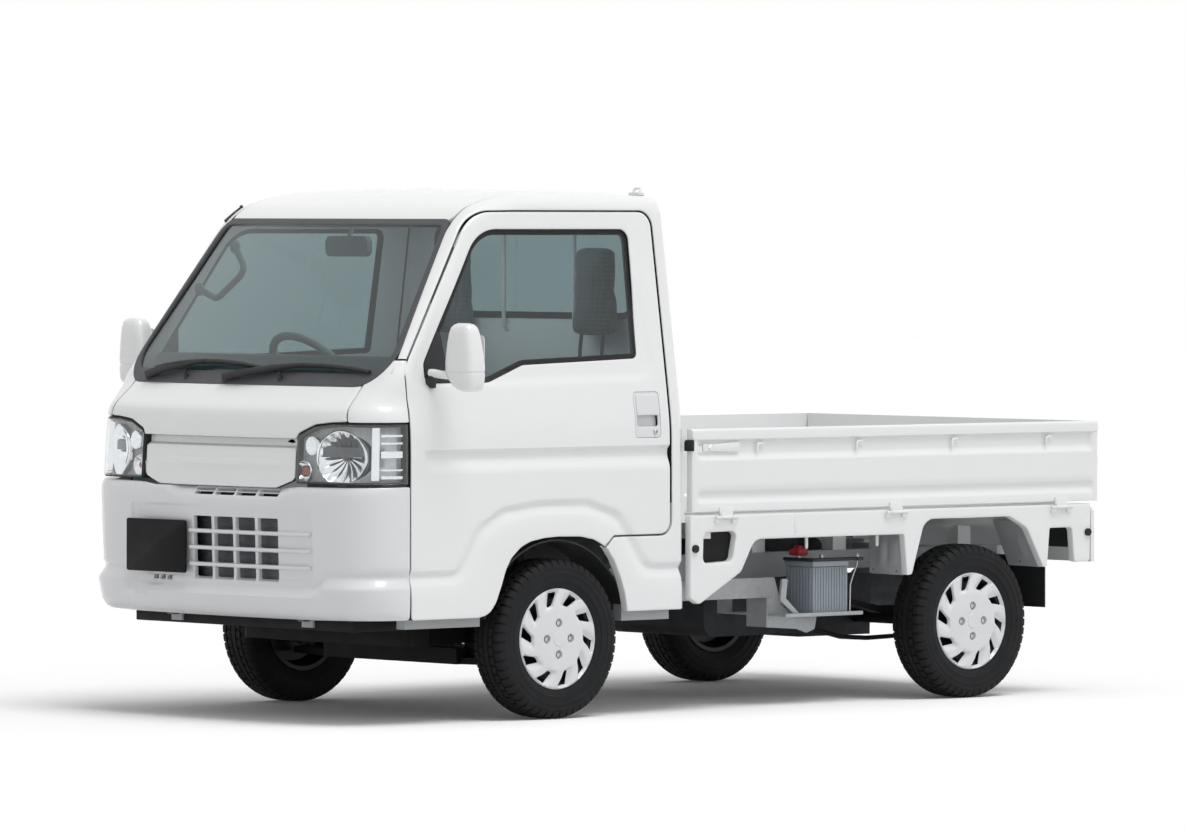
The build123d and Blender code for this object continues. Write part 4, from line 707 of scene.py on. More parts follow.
def cab_form(p):
    """Outside distance from the cab's form, negative inside."""
    x, y, z = p[:, 0], np.abs(p[:, 1]), p[:, 2]
    lean = 1 / np.sqrt(1 + ((front_reach(z + 0.01) - front_reach(z - 0.01)) / 0.02) ** 2)
    side = y - side_half(z)
    front = (x - front_reach(z) + y * y / (2 * BOW)) * lean
    corner = FRONT_CORNER - FRONT_CORNER_LOSS * smooth_step((z - 0.99) / 0.16)
    walls = round_corner(side, front, corner)
    shell = round_corner(walls, z - roof_height(x, y), ROOF_EDGE)
    return round_corner(shell, CAB_REAR - x, REAR_CORNER)


def bumper_form(p):
    """Outside distance from the bumper's form: a proud lip with a groove above it and a sloping top ledge."""
    x, y, z = p[:, 0], np.abs(p[:, 1]), p[:, 2]
    crease = 0.731 + 0.027 * smooth_step((np.abs(p[:, 1] - 0.06) - 0.24) / 0.10)
    middle = 1 - smooth_step((np.abs(p[:, 1] - 0.02) - 0.46) / 0.06)
    lowered = z + 0.038 * middle * smooth_step((0.62 - z) / 0.10) * smooth_step((z - 0.36) / 0.06)
    face = np.interp(lowered, LIP_HEIGHTS, LIP_REACHES) - 0.85 * ramp(z - crease, 0.010)
    side = y - np.interp(z, END_HEIGHTS, END_HALVES)
    return round_corner(side, x - face + y * y / (2 * BOW), BUMPER_CORNER)


print("half width at the sill", round(float(side_half(0.5)), 4))


# %% [markdown]
# A panel is an outline on a flat chart, filled with a grid, carried onto the form, rolled over at its
# edge like a pressed sheet and given the depth of its flange. On real panels the rolled edge makes the gaps
# read as dark lines with a soft highlight; here the flanges in the gaps also carry painted shade.


# %% Panels cut from a form
def inside(points, loop):
    """Which points lie inside a closed loop."""
    x, y = points[:, 0:1], points[:, 1:2]
    x0, y0 = loop[:, 0], loop[:, 1]
    x1, y1 = np.roll(x0, -1), np.roll(y0, -1)
    rise = np.where(y1 == y0, 1e-12, y1 - y0)
    crosses = ((y0 > y) != (y1 > y)) & (x < x0 + (y - y0) * (x1 - x0) / rise)
    return np.sum(crosses, axis=1) % 2 == 1


def distance_to(points, loop):
    """Distance from each point to a closed loop."""
    best = np.full(len(points), 1e9)
    for start, end in zip(loop, np.roll(loop, -1, 0)):
        run = end - start
        share = np.clip(((points - start) @ run) / max(float(run @ run), 1e-12), 0, 1)
        best = np.minimum(best, np.linalg.norm(points - start - share[:, None] * run, axis=1))
    return best


def depth_inside(points, loop):
    """Distance from a closed loop, positive inside it."""
    return np.where(inside(points, loop), 1.0, -1.0) * distance_to(points, loop)


HALVINGS = 34


def reach_form(form, start, aim, far=0.9):
    """Where lines from inside meet a form."""
    low = np.zeros(len(start))
    high = np.full(len(start), far)
    for _ in range(HALVINGS):
        middle = (low + high) / 2
        outside = form(start + aim * middle[:, None]) > 0
        high = np.where(outside, middle, high)
        low = np.where(outside, low, middle)
    return start + aim * low[:, None]


def outward(form, p):
    """Unit outward direction of a form at points on it."""
    h = 0.002
    slope = np.stack([form(p + step) - form(p - step) for step in np.eye(3) * h], 1)
    return slope / np.maximum(np.linalg.norm(slope, axis=1, keepdims=True), 1e-9)


def flat_chart(u_axis, v_axis, start_value, aim):
    """Chart with u and v along two axes, whose lines start at one value of the third and go along aim."""
    def chart(u, v):
        start = np.full((len(u), 3), start_value)
        start[:, u_axis] = u
        start[:, v_axis] = v
        return start, np.tile(aim, (len(u), 1))

    return chart


chart_side = flat_chart(0, 2, 0.3, (0.0, 1.0, 0.0))
chart_front = flat_chart(1, 2, 0.95, (1.0, 0.0, 0.0))
chart_roof = flat_chart(0, 1, 1.3, (0.0, 0.0, 1.0))
BEND_X = 1.40
BEND_Y = 0.58
BEND_RUN = 0.20


def chart_round(u, v):
    """Chart round the front corners: u runs across the front and back along each side, v is Z."""
    beyond = np.clip((np.abs(u) - BEND_Y) / BEND_RUN, 0, None)
    angle = np.minimum(beyond, 1) * math.pi / 2
    back = np.clip(np.abs(u) - BEND_Y - BEND_RUN, 0, None)
    sign = np.sign(u)
    start = np.stack([BEND_X - back, sign * np.minimum(np.abs(u), BEND_Y), v], 1)
    return start, np.stack([np.cos(angle), sign * np.sin(angle), np.zeros(len(u))], 1)


def round_u(x, y):
    """Place on the round chart of a point on the left of the body, seen from above."""
    if y <= BEND_Y:
        return y
    return BEND_Y + BEND_RUN * math.atan2(y - BEND_Y, x - BEND_X) / (math.pi / 2)


def even_cells(us, vs, kept, first, loops, reaches):
    """Four-cornered cells of a grid that lie clear of all loops, as point numbers counted from first."""
    number = np.full(len(kept), -1)
    number[kept] = first + np.arange(np.sum(kept))
    number = number.reshape(len(vs), len(us))
    corners = np.stack([number[:-1, :-1], number[:-1, 1:], number[1:, 1:], number[1:, :-1]], -1)
    corners = corners.reshape(-1, 4)
    middles = np.stack([g.ravel() for g in np.meshgrid((us[1:] + us[:-1]) / 2, (vs[1:] + vs[:-1]) / 2)], 1)
    halves = np.hypot(*[g.ravel() for g in np.meshgrid(np.diff(us), np.diff(vs))]) / 2
    good = np.all(corners >= 0, axis=1)
    for loop, reach in zip(loops, reaches):
        good[good] = distance_to(middles[good], loop) > halves[good] + reach
    return corners[good]


# Rings of points along an edge, in radii of its roll.
EDGE_RINGS = (0.0, 0.3, 1.0, 2.4)


def roll_sink(drop, radius):
    """How far the skin of a rolled edge lies below the form, at a distance from the edge."""
    return radius - math.sqrt(max(radius * radius - (radius - min(drop, radius)) ** 2, 0))


def skin_panel(loops, chart, form, step, lines=((), ()), roll=0.004, wall=0.026, relief=0.0, flat=None):
    """Pressed panel from its edge loop and its holes, with one roll or one per loop.

    Its relief is a height, or a function of the points on the form.
    """
    loops = [facing(loop, i == 0) for i, loop in enumerate(loops)]
    rolls = list(roll) if isinstance(roll, (list, tuple)) else [roll] * len(loops)
    points = []
    sinks = []
    edges = []
    for loop, radius in zip(loops, rolls):
        for share in EDGE_RINGS:
            ring = inset(loop, share * radius)
            start = len(points)
            count = len(ring)
            sink = np.full(count, roll_sink(share * radius, radius))
            if flat is not None:
                sink[flat(ring)] = 0
            points.extend(ring)
            sinks.extend(sink)
            if share == 0:
                edges += [(start + k, start + (k + 1) % count) for k in range(count)]
    spans = []
    for low, high, own in zip(loops[0].min(0), loops[0].max(0), lines):
        even = np.arange(low + step / 2, high, step)
        spans.append(np.union1d(even, [value for value in own if low < value < high]))
    us, vs = spans
    grid = np.stack([g.ravel() for g in np.meshgrid(us, vs)], 1)
    keep = inside(grid, loops[0])
    for hole in loops[1:]:
        keep &= ~inside(grid, hole)
    for loop, radius in zip(loops, rolls):
        keep[keep] = distance_to(grid[keep], loop) > EDGE_RINGS[-1] * radius + 0.003
    cells = even_cells(us, vs, keep, len(points), loops,
                       [EDGE_RINGS[-1] * radius + 0.001 for radius in rolls])
    grid = grid[keep]
    points.extend(grid)
    sinks.extend(np.zeros(len(grid)))
    flat_points, _, faces, origin, _, _ = delaunay_2d_cdt([Vector(p) for p in points], edges, [], 1, 1e-6)
    spots = np.array([tuple(p) for p in flat_points])
    sink = np.array([sinks[o[0]] if o else 0.0 for o in origin])
    centres = np.array([spots[list(f)].mean(0) for f in faces])
    keep = inside(centres, loops[0])
    for hole in loops[1:]:
        keep &= ~inside(centres, hole)
    place_of = {i: k for k, made_from in enumerate(origin) for i in made_from}
    cells = [tuple(place_of[i] for i in cell) for cell in cells]
    halves = {frozenset(cell[:k] + cell[k + 1:]) for cell in cells for k in range(4)}
    faces = [tuple(f) for f, k in zip(faces, keep) if k and frozenset(f) not in halves] + cells
    start, aim = chart(spots[:, 0], spots[:, 1])
    skin = reach_form(form, start, aim)
    normal = outward(form, skin)
    lift = relief(skin) if callable(relief) else relief
    outer = skin + normal * (lift - sink)[:, None]
    inner = skin - normal * wall
    a, b, c = (outer[[f[i] for f in faces]] for i in range(3))
    turn = np.sum(np.cross(b - a, c - a) * normal[[f[0] for f in faces]], 1)
    faces = [f if t > 0 else f[::-1] for f, t in zip(faces, turn)]
    return walled(outer, inner, faces)


def walled(outer, inner, faces):
    """Closed sheet from an outer and an inner skin that share their faces."""
    count = len(outer)
    sides = {}
    for face in faces:
        for k in range(len(face)):
            sides[(face[k], face[(k + 1) % len(face)])] = True
    rim = [(b, a, a + count, b + count) for a, b in sides if (b, a) not in sides]
    back = [tuple(i + count for i in reversed(face)) for face in faces]
    return np.concatenate([outer, inner]), list(faces) + back + rim


def strip_panel(form, edge_a, edge_b, columns, roll=0.004, wall=0.026):
    """Pressed strip between two lines of points on a form."""
    normal_a = outward(form, edge_a)
    normal_b = outward(form, edge_b)
    width = np.linalg.norm(edge_b - edge_a, axis=1)
    near = [share * roll for share in EDGE_RINGS[:3]]
    margin = EDGE_RINGS[3] * roll / width
    shares = [d / width for d in near]
    shares += [margin + (1 - 2 * margin) * k / (columns - 1) for k in range(columns)]
    shares += [1 - d / width for d in near[::-1]]
    sinks = [roll_sink(d, roll) for d in near]
    sinks = sinks + [0.0] * columns + sinks[::-1]
    outers = []
    inners = []
    for share, sink in zip(shares, sinks):
        part = share[:, None]
        aim = normal_a * (1 - part) + normal_b * part
        aim /= np.linalg.norm(aim, axis=1, keepdims=True)
        spot = reach_form(form, edge_a * (1 - part) + edge_b * part - aim * 0.10, aim, 0.3)
        normal = outward(form, spot)
        outers.append(spot - normal * sink)
        inners.append(spot - normal * wall)
    rows = len(edge_a)
    total = len(shares)
    faces = []
    for i in range(total - 1):
        for k in range(rows - 1):
            faces.append((i * rows + k, i * rows + k + 1, (i + 1) * rows + k + 1, (i + 1) * rows + k))
    outer = np.concatenate(outers)
    inner = np.concatenate(inners)
    a, b, c = (outer[[f[i] for f in faces]] for i in range(3))
    normals = np.concatenate([normal_a] * total)
    turn = np.sum(np.cross(b - a, c - a) * normals[[f[0] for f in faces]], 1)
    faces = [f[::-1] for f in faces] if np.median(turn) < 0 else faces
    return walled(outer, inner, faces)


# %% [markdown]
# The doors carry most of the side's character: a flare round the wheel arch that runs into the sill, a
# pressed groove below the handle, and a shallow step round the window. They could be cut as loops of
# edges; as reliefs that sink the skin they run on from the door to the cab's rear quarter in one line.

# %% Reliefs of the side
FLARE_REACH = (-0.012, -0.008, 0.004, 0.008, 0.013, 0.040, 0.050, 0.080)
FLARE_DEPTH = (0.0, 0.0008, 0.0092, 0.0108, 0.0102, 0.0010, -0.0008, -0.0030)
FLARE_LOOP = rounded_path([(1.70, 0.10), (1.70, 0.492), (1.250, 0.492), (1.168, 0.632), (1.055, 0.694),
                           (0.900, 0.712), (0.690, 0.712), (0.545, 0.668), (0.425, 0.494), (0.10, 0.492),
                           (0.10, 0.10)], [0, 0, 0.05, 0.10, 0.10, 0.08, 0.08, 0.10, 0.06, 0, 0], 0.03,
                          True)
GROOVE_HEIGHTS = (0.812, 0.822, 0.830, 0.856, 0.866, 0.880, 0.886, 0.892)
GROOVE_DEPTHS = (0.0, 0.0010, 0.0032, 0.0134, 0.0140, 0.0118, 0.0066, 0.0)
WINDOW_STEP = 0.007
STEP_LOOP = rounded_path([(1.394, 1.098), (1.394, 1.17), (1.05, 1.80), (0.382, 1.80), (0.382, 1.116)],
                         [0.045, 0.10, 0, 0, 0.055], 0.03, True)


def side_relief(skin):
    """Lift of the side's skin: the groove that bounds the flare, the upper groove and the window step."""
    chart = skin[:, (0, 2)]
    flare = np.interp(depth_inside(chart, FLARE_LOOP), FLARE_REACH, FLARE_DEPTH)
    groove = np.interp(chart[:, 1], GROOVE_HEIGHTS, GROOVE_DEPTHS)
    groove = groove * smooth_step((1.396 - chart[:, 0]) / 0.022)
    window = WINDOW_STEP * smooth_step(0.5 + depth_inside(chart, STEP_LOOP) / 0.016)
    window *= 1 - smooth_step((chart[:, 1] - 1.22) / 0.25)
    return -flare - groove - window


print("flare line", len(FLARE_LOOP), "points, window step", len(STEP_LOOP), "points")

# %% [markdown]
# The outlines of door, window and handle hollow are drawn flat, as seen from the side. The wheel arch cuts
# the door's foot along a measured line with a flat top. A flat outline could also be modelled in place, but
# carried onto the form it keeps the gaps between the panels even.

# %% Door outlines
ARCH_FRONT = [(0.611, 0.562), (0.661, 0.586), (0.723, 0.597), (0.816, 0.599), (0.877, 0.596),
              (0.938, 0.586), (0.981, 0.569), (1.024, 0.533), (1.048, 0.493), (1.066, 0.443),
              (1.090, 0.389), (1.120, 0.353)]
ARCH_REAR = [(0.606, 0.5575), (0.574, 0.517), (0.543, 0.456), (0.525, 0.405), (0.513, 0.345)]
DOOR_LOOP = rounded_path([(1.452, 0.343), (1.452, 1.152), (1.103, 1.662), (0.321, 1.662), (0.321, 0.597),
                          (0.574, 0.597)] + ARCH_FRONT + [(1.163, 0.343)],
                         [0.012, 0.06, 0.15, 0.05, 0.042, 0.02, 0.003] + [0.06] * len(ARCH_FRONT), 0.014,
                         True)
WINDOW_LOOP = rounded_path([(1.368, 1.108), (1.368, 1.172), (1.085, 1.605), (0.425, 1.605), (0.436, 1.180),
                            (0.940, 1.163), (1.095, 1.108)], [0.024, 0.04, 0.15, 0.036, 0.018, 0.08, 0.08],
                           0.012, True)
flare_heights = tuple(np.arange(0.448, 0.506, 0.004)) + tuple(np.arange(0.664, 0.730, 0.004))
SIDE_LINES = ((), tuple(GROOVE_HEIGHTS) + (0.838, 0.847, 0.861, 0.873, 0.883, 0.889) + flare_heights)

HANDLE_LOOP = box_loop((0.361, 0.916), (0.475, 1.068), 0.014, 0.008)
FINGER_LOOP = box_loop((0.371, 0.954), (0.465, 0.994), 0.008, 0.008)
print("door outline", len(DOOR_LOOP), "points, window", len(WINDOW_LOOP), "points")

# %% [markdown]
# Each door is one pressed skin with an opening for the glass and one for the handle, and a rubber ring that
# lines the window. Its flanges carry a painted dark shade, which draws the gaps. The right door is the left
# one mirrored.

# %% Doors
door_skin = skin_panel([DOOR_LOOP, WINDOW_LOOP, HANDLE_LOOP], chart_side, cab_form, 0.014, SIDE_LINES,
                       roll=(0.004, 0.004, 0.0014), relief=side_relief)
window_ring = skin_panel([shrunk(WINDOW_LOOP, 0.0005), shrunk(WINDOW_LOOP, 0.017)], chart_side, cab_form,
                         0.05, roll=0.003, wall=0.020, relief=-0.0085)
make_pair("door_skin_{}", "door_{}",
          [(door_skin, "white_enamel", "flange_sealer"), (window_ring, "black_seal")], ["door_{}"])

# %% [markdown]
# The frame round the door is one strip from the foot of the screen pillar, over the roof rail and down
# the rear corner. No flat outline can follow it round, so it is spanned between its two edges. The lower
# rear quarter and the fender corner above the lamp complete each side.

# %% Door frame, rear quarter and fender corner
FRAME_STEPS = ((22, 0), (16, 1), (26, 2), (10, 3), (26, 4))


def frame_edges():
    """Edges of the strip: along the door gap, and along the screen, the roof seam and the rear wall."""
    path = rounded_path([(1.4335, 1.186), (1.107, 1.667), (0.312, 1.667), (0.312, 0.700)],
                        [0, 0.155, 0.055, 0], 0.004, False)
    run = np.concatenate([[0], np.cumsum(np.linalg.norm(np.diff(path, axis=0), axis=1))])
    marks = [0.0]
    for target in ((1.185, 1.552), (0.985, 1.667), (0.372, 1.667), (0.312, 1.605), (0.312, 0.700)):
        marks.append(run[np.argmin(np.linalg.norm(path - target, axis=1))])
    launches = [((1.0, 0.661, 1.186), (1, 0, 0)), ((0.95, 0.576, 1.596), (1, 0, 0)),
                ((1.06, 0.562, 1.45), (0, 0, 1)), ((0.32, 0.562, 1.45), (0, 0, 1)),
                ((0.45, 0.575, 1.620), (-1, 0, 0)), ((0.45, 0.598, 0.700), (-1, 0, 0))]
    along = []
    starts = []
    aims = []
    for count, k in FRAME_STEPS:
        for share in np.linspace(0, 1, count, endpoint=False):
            along.append(marks[k] + (marks[k + 1] - marks[k]) * share)
            (p, a), (q, b) = launches[k], launches[k + 1]
            turn = smooth_step(np.array(share)) if k in (1, 3) else share
            starts.append(np.array(p) * (1 - turn) + np.array(q) * turn)
            aims.append(np.array(a) * (1 - turn) + np.array(b) * turn)
    along.append(marks[-1])
    starts.append(np.array(launches[-1][0]))
    aims.append(np.array(launches[-1][1], float))
    chart = np.stack([np.interp(along, run, path[:, i]) for i in range(2)], 1)
    edge_a = reach_form(cab_form, *chart_side(chart[:, 0], chart[:, 1]))
    aims = np.array(aims) / np.linalg.norm(aims, axis=1, keepdims=True)
    return edge_a, reach_form(cab_form, np.array(starts), aims)


frame_strip = strip_panel(cab_form, *frame_edges(), 12)
QUARTER_LOOP = rounded_path(
    [(0.2545, 0.345), (0.2545, 0.700), (0.312, 0.700), (0.312, 0.592), (0.571, 0.592)] + ARCH_REAR,
    [0.004, 0, 0, 0.046, 0.02, 0.003, 0.06, 0.06, 0.06, 0.004], 0.012, True)
rear_quarter = skin_panel([QUARTER_LOOP], chart_side, cab_form, 0.014,
                          ((0.256, 0.259, 0.263, 0.268, 0.274, 0.281), flare_heights), relief=side_relief,
                          flat=lambda ring: ring[:, 1] > 0.690)


def front_u(y, z):
    """Place on the round chart of a point of the front at Y and Z."""
    spot = reach_form(cab_form, *chart_front(np.array([y]), np.array([z])))[0]
    return round_u(spot[0], y)


def gap_u(x, z):
    """Place on the round chart of a point of the left side at X and Z."""
    return round_u(x, float(side_half(z)))


FENDER_LOOP = rounded_path([(front_u(0.608, 0.985), 0.982), (gap_u(1.457, 0.982), 0.982),
                            (gap_u(1.457, 1.13), 1.130), (gap_u(1.437, 1.182), 1.182),
                            (front_u(0.640, 1.182), 1.182), (front_u(0.622, 1.143), 1.143),
                            (front_u(0.604, 1.118), 1.118), (front_u(0.5845, 1.104), 1.104)],
                           [0.006, 0.004, 0.03, 0.004, 0.004, 0.03, 0.03, 0.006], 0.010, True)
fender_corner = skin_panel([FENDER_LOOP], chart_round, cab_form, 0.010, roll=0.003)
# The flanges of the door frame and the fender corner carry painted gap shade.
make_pair("cab_frame_{}", "chassis",
          [(frame_strip, "white_enamel", "flange_sealer"), (fender_corner, "white_enamel", "flange_sealer"),
           (rear_quarter, "white_enamel")], ["cab_side_{}"])

# %% [markdown]
# The roof is one pressing over the same form, with shallow beads along its length that stiffen the sheet.
# The beads are a relief too, so its outline stays as plain as on the real press tool.

# %% Roof
ROOF_LOOP = rounded_path([(0.2548, -0.5575), (1.1505, -0.5575), (1.168, -0.40), (1.1835, -0.20),
                          (1.189, 0.0), (1.1835, 0.20), (1.168, 0.40), (1.1505, 0.5575), (0.2548, 0.5575)],
                         [0, 0.035, 0.6, 0.6, 0.6, 0.6, 0.6, 0.035, 0], 0.014, True)


def roof_beads(skin):
    """Low beads along the roof, one every 200 mm."""
    across = np.abs((skin[:, 1] + 0.6) % 0.2 - 0.1)
    bead = smooth_step((0.045 - across) / 0.018) * (np.abs(skin[:, 1]) < 0.5)
    ends = smooth_step((skin[:, 0] - 0.34) / 0.04) * smooth_step((1.0 - skin[:, 0]) / 0.08)
    return 0.004 * bead * ends


lines_along = [0.2556, 0.258, 0.262, 0.268, 0.276]
lines_along += list(np.arange(0.332, 0.392, 0.006)) + list(np.arange(0.912, 1.01, 0.008))
lines_across = [y + d for y in (-0.4, -0.2, 0.0, 0.2, 0.4)
                for d in (-0.045, -0.036, -0.027, 0.027, 0.036, 0.045)]
roof_skin = skin_panel([ROOF_LOOP], chart_roof, cab_form, 0.02, (lines_along, lines_across), roll=0.0025,
                       relief=roof_beads)
make_piece("roof_skin", "chassis", [(roof_skin, "white_enamel")], ["roof_panel"])

# %% [markdown]
# The front panel is the hood's slope with a softly rolled lip. The garnish below it is set back under that
# lip and has one bead across. Both outlines are drawn for one half and mirrored, so they stay even.

# %% Front panel and garnish
FRONT_HALF = [(0.388, 0.926), (0.398, 0.945), (0.470, 0.974), (0.546, 0.982), (0.603, 0.984), (0.580, 1.102)]
FRONT_RADII = [0.004, 0.02, 0.03, 0.03, 0.004, 0.006]
FRONT_LOOP = rounded_path(FRONT_HALF + [(-y, z) for y, z in reversed(FRONT_HALF)],
                          FRONT_RADII + FRONT_RADII[::-1], 0.012, True)
HOOD_LINES = (0.99, 1.0, 1.008, 1.014, 1.019, 1.025, 1.032, 1.04, 1.05)
front_skin = skin_panel([FRONT_LOOP], chart_front, cab_form, 0.016, ((), HOOD_LINES), roll=0.006)
# The front panel's flange carries painted gap shade.
make_piece("front_panel_skin", "chassis", [(front_skin, "white_enamel", "flange_sealer")],
           ["front_panel"])
GARNISH_HALF = [(0.30, 0.766), (0.372, 0.790), (0.384, 0.800), (0.384, 0.940)]
GARNISH_LOOP = rounded_path(GARNISH_HALF + [(-y, z) for y, z in reversed(GARNISH_HALF)],
                            [0.03, 0.02, 0.01, 0.0, 0.0, 0.01, 0.02, 0.03], 0.012, True)


def garnish_relief(skin):
    """Set back under the hood's lip, with a cove at the top and one bead across."""
    z = skin[:, 2]
    cove = -0.026 * smooth_step((z - 0.894) / 0.016)
    bead = 0.0045 * smooth_step((0.013 - np.abs(z - 0.845)) / 0.006)
    bead = bead * smooth_step((0.315 - np.abs(skin[:, 1])) / 0.012)
    return -0.009 + cove + bead


GARNISH_LINES = (0.830, 0.834, 0.838, 0.842, 0.848, 0.852, 0.856, 0.860, 0.893, 0.898, 0.904, 0.910, 0.916)
garnish_skin = skin_panel([GARNISH_LOOP], chart_front, cab_form, 0.02, ((), GARNISH_LINES), roll=0.003,
                          relief=garnish_relief)
# The garnish's flange carries painted gap shade.
make_piece("garnish_skin", "chassis", [(garnish_skin, "white_enamel", "flange_sealer")],
           ["garnish_panel"])

# %% [markdown]
# The bumper is one moulding from door to door, with a proud lip, a recess round grille and plate, and the
# openings of the grille. The openings are holes of the panel, so their rims roll over like its edge.

# %% Bumper
BUMPER_END = gap_u(1.457, 0.6)
bumper_half = [(0.0, 0.3375), (0.45, 0.3375), (BUMPER_END, 0.343), (BUMPER_END, 0.774), (0.40, 0.772),
               (0.372, 0.770), (0.31, 0.7635)]
bumper_radii = [0, 0.2, 0.01, 0.006, 0.01, 0.02, 0.03]
BUMPER_LOOP = rounded_path(bumper_half + [(-u, z) for u, z in reversed(bumper_half[1:])],
                           bumper_radii + bumper_radii[:0:-1], 0.014, True)
GRILLE_LEFT = -0.106
GRILLE_PITCH = 0.108
GRILLE_OPENING = (0.094, 0.042)
GRILLE_ROWS = (0.459, 0.5135, 0.568, 0.6225)
grille_holes = []
for row_z in GRILLE_ROWS:
    for column in range(4):
        left = GRILLE_LEFT + column * GRILLE_PITCH
        width, height = GRILLE_OPENING
        grille_holes.append(box_loop((left, row_z), (left + width, row_z + height), 0.005, 0.012))
# Slots above the grille and under the plate: count, first left edge, pitch, width, low, high, corner, step.
SLOT_ROWS = ((4, -0.100, 0.106, 0.096, 0.738, 0.7605, 0.003, 0.012),
             (3, -0.332, 0.038, 0.029, 0.4515, 0.4645, 0.002, 0.01))
slot_holes = []
for count, first, pitch, width, low, high, corner, step in SLOT_ROWS:
    for column in range(count):
        left = first + column * pitch
        slot_holes.append(box_loop((left, low), (left + width, high), corner, step))
bumper_across = [-0.453, -0.449, -0.445, -0.441, 0.464, 0.468, 0.472, 0.476]
bumper_across += list(np.arange(-0.42, 0.48, 0.03))
BUMPER_UP = (0.346, 0.354, 0.362, 0.372, 0.386, 0.40, 0.412, 0.42, 0.428, 0.436, 0.444, 0.452, 0.458,
             0.466, 0.474, 0.482, 0.486, 0.490, 0.496, 0.502, 0.692, 0.696, 0.700, 0.704, 0.72, 0.728,
             0.734, 0.74, 0.746, 0.752, 0.758, 0.764, 0.769)
RECESS_LOOP = box_loop((-0.447, 0.440), (0.470, 0.699), 0.015, 0.03)
RECESS_DEPTH = 0.0065


def bumper_relief(skin):
    """Shallow recess round the grille and the plate."""
    recess = smooth_step(0.5 + depth_inside(skin[:, 1:], RECESS_LOOP) / 0.010)
    return -RECESS_DEPTH * recess * smooth_step((skin[:, 2] - 0.452) / 0.02)


bumper_skin = skin_panel([BUMPER_LOOP] + grille_holes + slot_holes, chart_round, bumper_form, 0.024,
                         (bumper_across, BUMPER_UP), roll=0.003, wall=0.022, relief=bumper_relief)
make_piece("bumper_skin", "chassis", [(bumper_skin, "white_moulding")], ["front_bumper"])

# %% [markdown]
# The tyres have a block tread. Blocks could be copied round the wheel one by one; a single grid wrapped
# round it stays closed. Each row across has a kind, and each kind says where round the pitch its cross
# grooves lie, so the blocks of neighbouring rows are staggered.

# %% Tyres
PITCHES = 52
PITCH_MARKS = (0.0, 0.04, 0.20, 0.24, 0.5, 0.54, 0.70, 0.74)
SHOULDER_GROOVE = (0.04, 0.20)
MIDDLE_GROOVE = (0.54, 0.70)
TYRE_ROWS = (("rib", 0.0, 0.263), ("rib", 9.0, 0.263), ("groove", 10.0, 0.263), ("groove", 14.0, 0.263),
             ("middle", 15.0, 0.2628), ("middle", 33.0, 0.2625), ("groove", 34.0, 0.2625),
             ("groove", 39.0, 0.2622), ("shoulder", 40.0, 0.2620), ("shoulder", 52.0, 0.2608),
             ("shoulder", 60.0, 0.2580), ("shoulder", 66.0, 0.2520), ("shoulder", 69.8, 0.2445),
             ("shoulder", 71.4, 0.2380), ("wall", 72.0, 0.2365), ("wall", 72.4, 0.2300),
             ("wall", 71.2, 0.2285), ("wall", 71.6, 0.2215), ("wall", 72.3, 0.2200),
             ("wall", 71.9, 0.2125), ("wall", 70.4, 0.2110), ("wall", 69.8, 0.1960),
             ("wall", 70.6, 0.1948), ("wall", 69.6, 0.1885), ("wall", 67.2, 0.1872),
             ("wall", 64.0, 0.1760), ("wall", 60.5, 0.1700), ("wall", 58.5, 0.1620), ("wall", 55.0, 0.1585))
TREAD_DEPTH = 0.0062


def tread_sink(kind, share):
    """Depth of the tread at a place within one pitch."""
    if kind == "groove":
        return TREAD_DEPTH
    low, high = {"shoulder": SHOULDER_GROOVE, "middle": MIDDLE_GROOVE}.get(kind, (2, 2))
    return TREAD_DEPTH * 0.9 if low <= share <= high else 0.0


def tyre_chunk():
    """Tyre about Z, its outer side up."""
    rows = [(kind, -y, r) for kind, y, r in reversed(TYRE_ROWS[1:])] + list(TYRE_ROWS)
    marks = [(pitch + share, share) for pitch in range(PITCHES) for share in PITCH_MARKS]
    count = len(marks)
    points = []
    for kind, height, radius in rows:
        for place, share in marks:
            angle = 2 * math.pi * place / PITCHES
            reach = radius - tread_sink(kind, share)
            points.append((reach * math.cos(angle), reach * math.sin(angle), height / 1000))
    faces = []
    for i in range(len(rows)):
        for k in range(count):
            j = (k + 1) % count
            n = (i + 1) % len(rows)
            faces.append((i * count + k, i * count + j, n * count + j, n * count + k))
    return np.array(points), faces


tyre = tyre_chunk()
print("tyre", len(tyre[0]), "points")

# %% [markdown]
# The wheel cover is a shallow dish with ten slanted troughs. Each trough has an opening on one side, and
# four recesses show the wheel nuts. The disc and the barrel of the steel rim are seen through the openings.

# %% Wheel covers and rims
COVER_RADIUS = 0.167
COVER_PROFILE = ((0.0, 0.0700), (0.060, 0.0698), (0.100, 0.0688), (0.112, 0.0672), (0.130, 0.0655),
                 (0.150, 0.0645), (0.158, 0.0650), (0.163, 0.0630), (0.168, 0.0575))
SLOT_COUNT = 10
SLOT_PITCH = 360 / SLOT_COUNT
SLOT_LEAN = 290.0
TROUGH_DEPTH = 0.010
NUT_PLACES = [(0.052 * math.cos(a), 0.052 * math.sin(a)) for a in np.arange(4) * math.pi / 2]


def cover_form(p):
    """Height over the cover's dish."""
    radii, heights = zip(*COVER_PROFILE)
    return p[:, 2] - np.interp(np.hypot(p[:, 0], p[:, 1]), radii, heights)


def trough_angle(radius):
    """Turn in degrees of the troughs at a radius."""
    return -SLOT_LEAN * (radius - 0.130)


def cover_relief(skin):
    """Ten slanted troughs in the outer band, deeper on the side of the opening."""
    radius = np.hypot(skin[:, 0], skin[:, 1])
    turn = np.degrees(np.arctan2(skin[:, 1], skin[:, 0])) - trough_angle(radius)
    within = (turn + SLOT_PITCH / 2) % SLOT_PITCH - SLOT_PITCH / 2
    across = smooth_step((within + 12.5) / 2.5) * smooth_step((12.5 - within) / 12)
    along = smooth_step((radius - 0.106) / 0.008) * smooth_step((0.1605 - radius) / 0.004)
    return -TROUGH_DEPTH * across * along


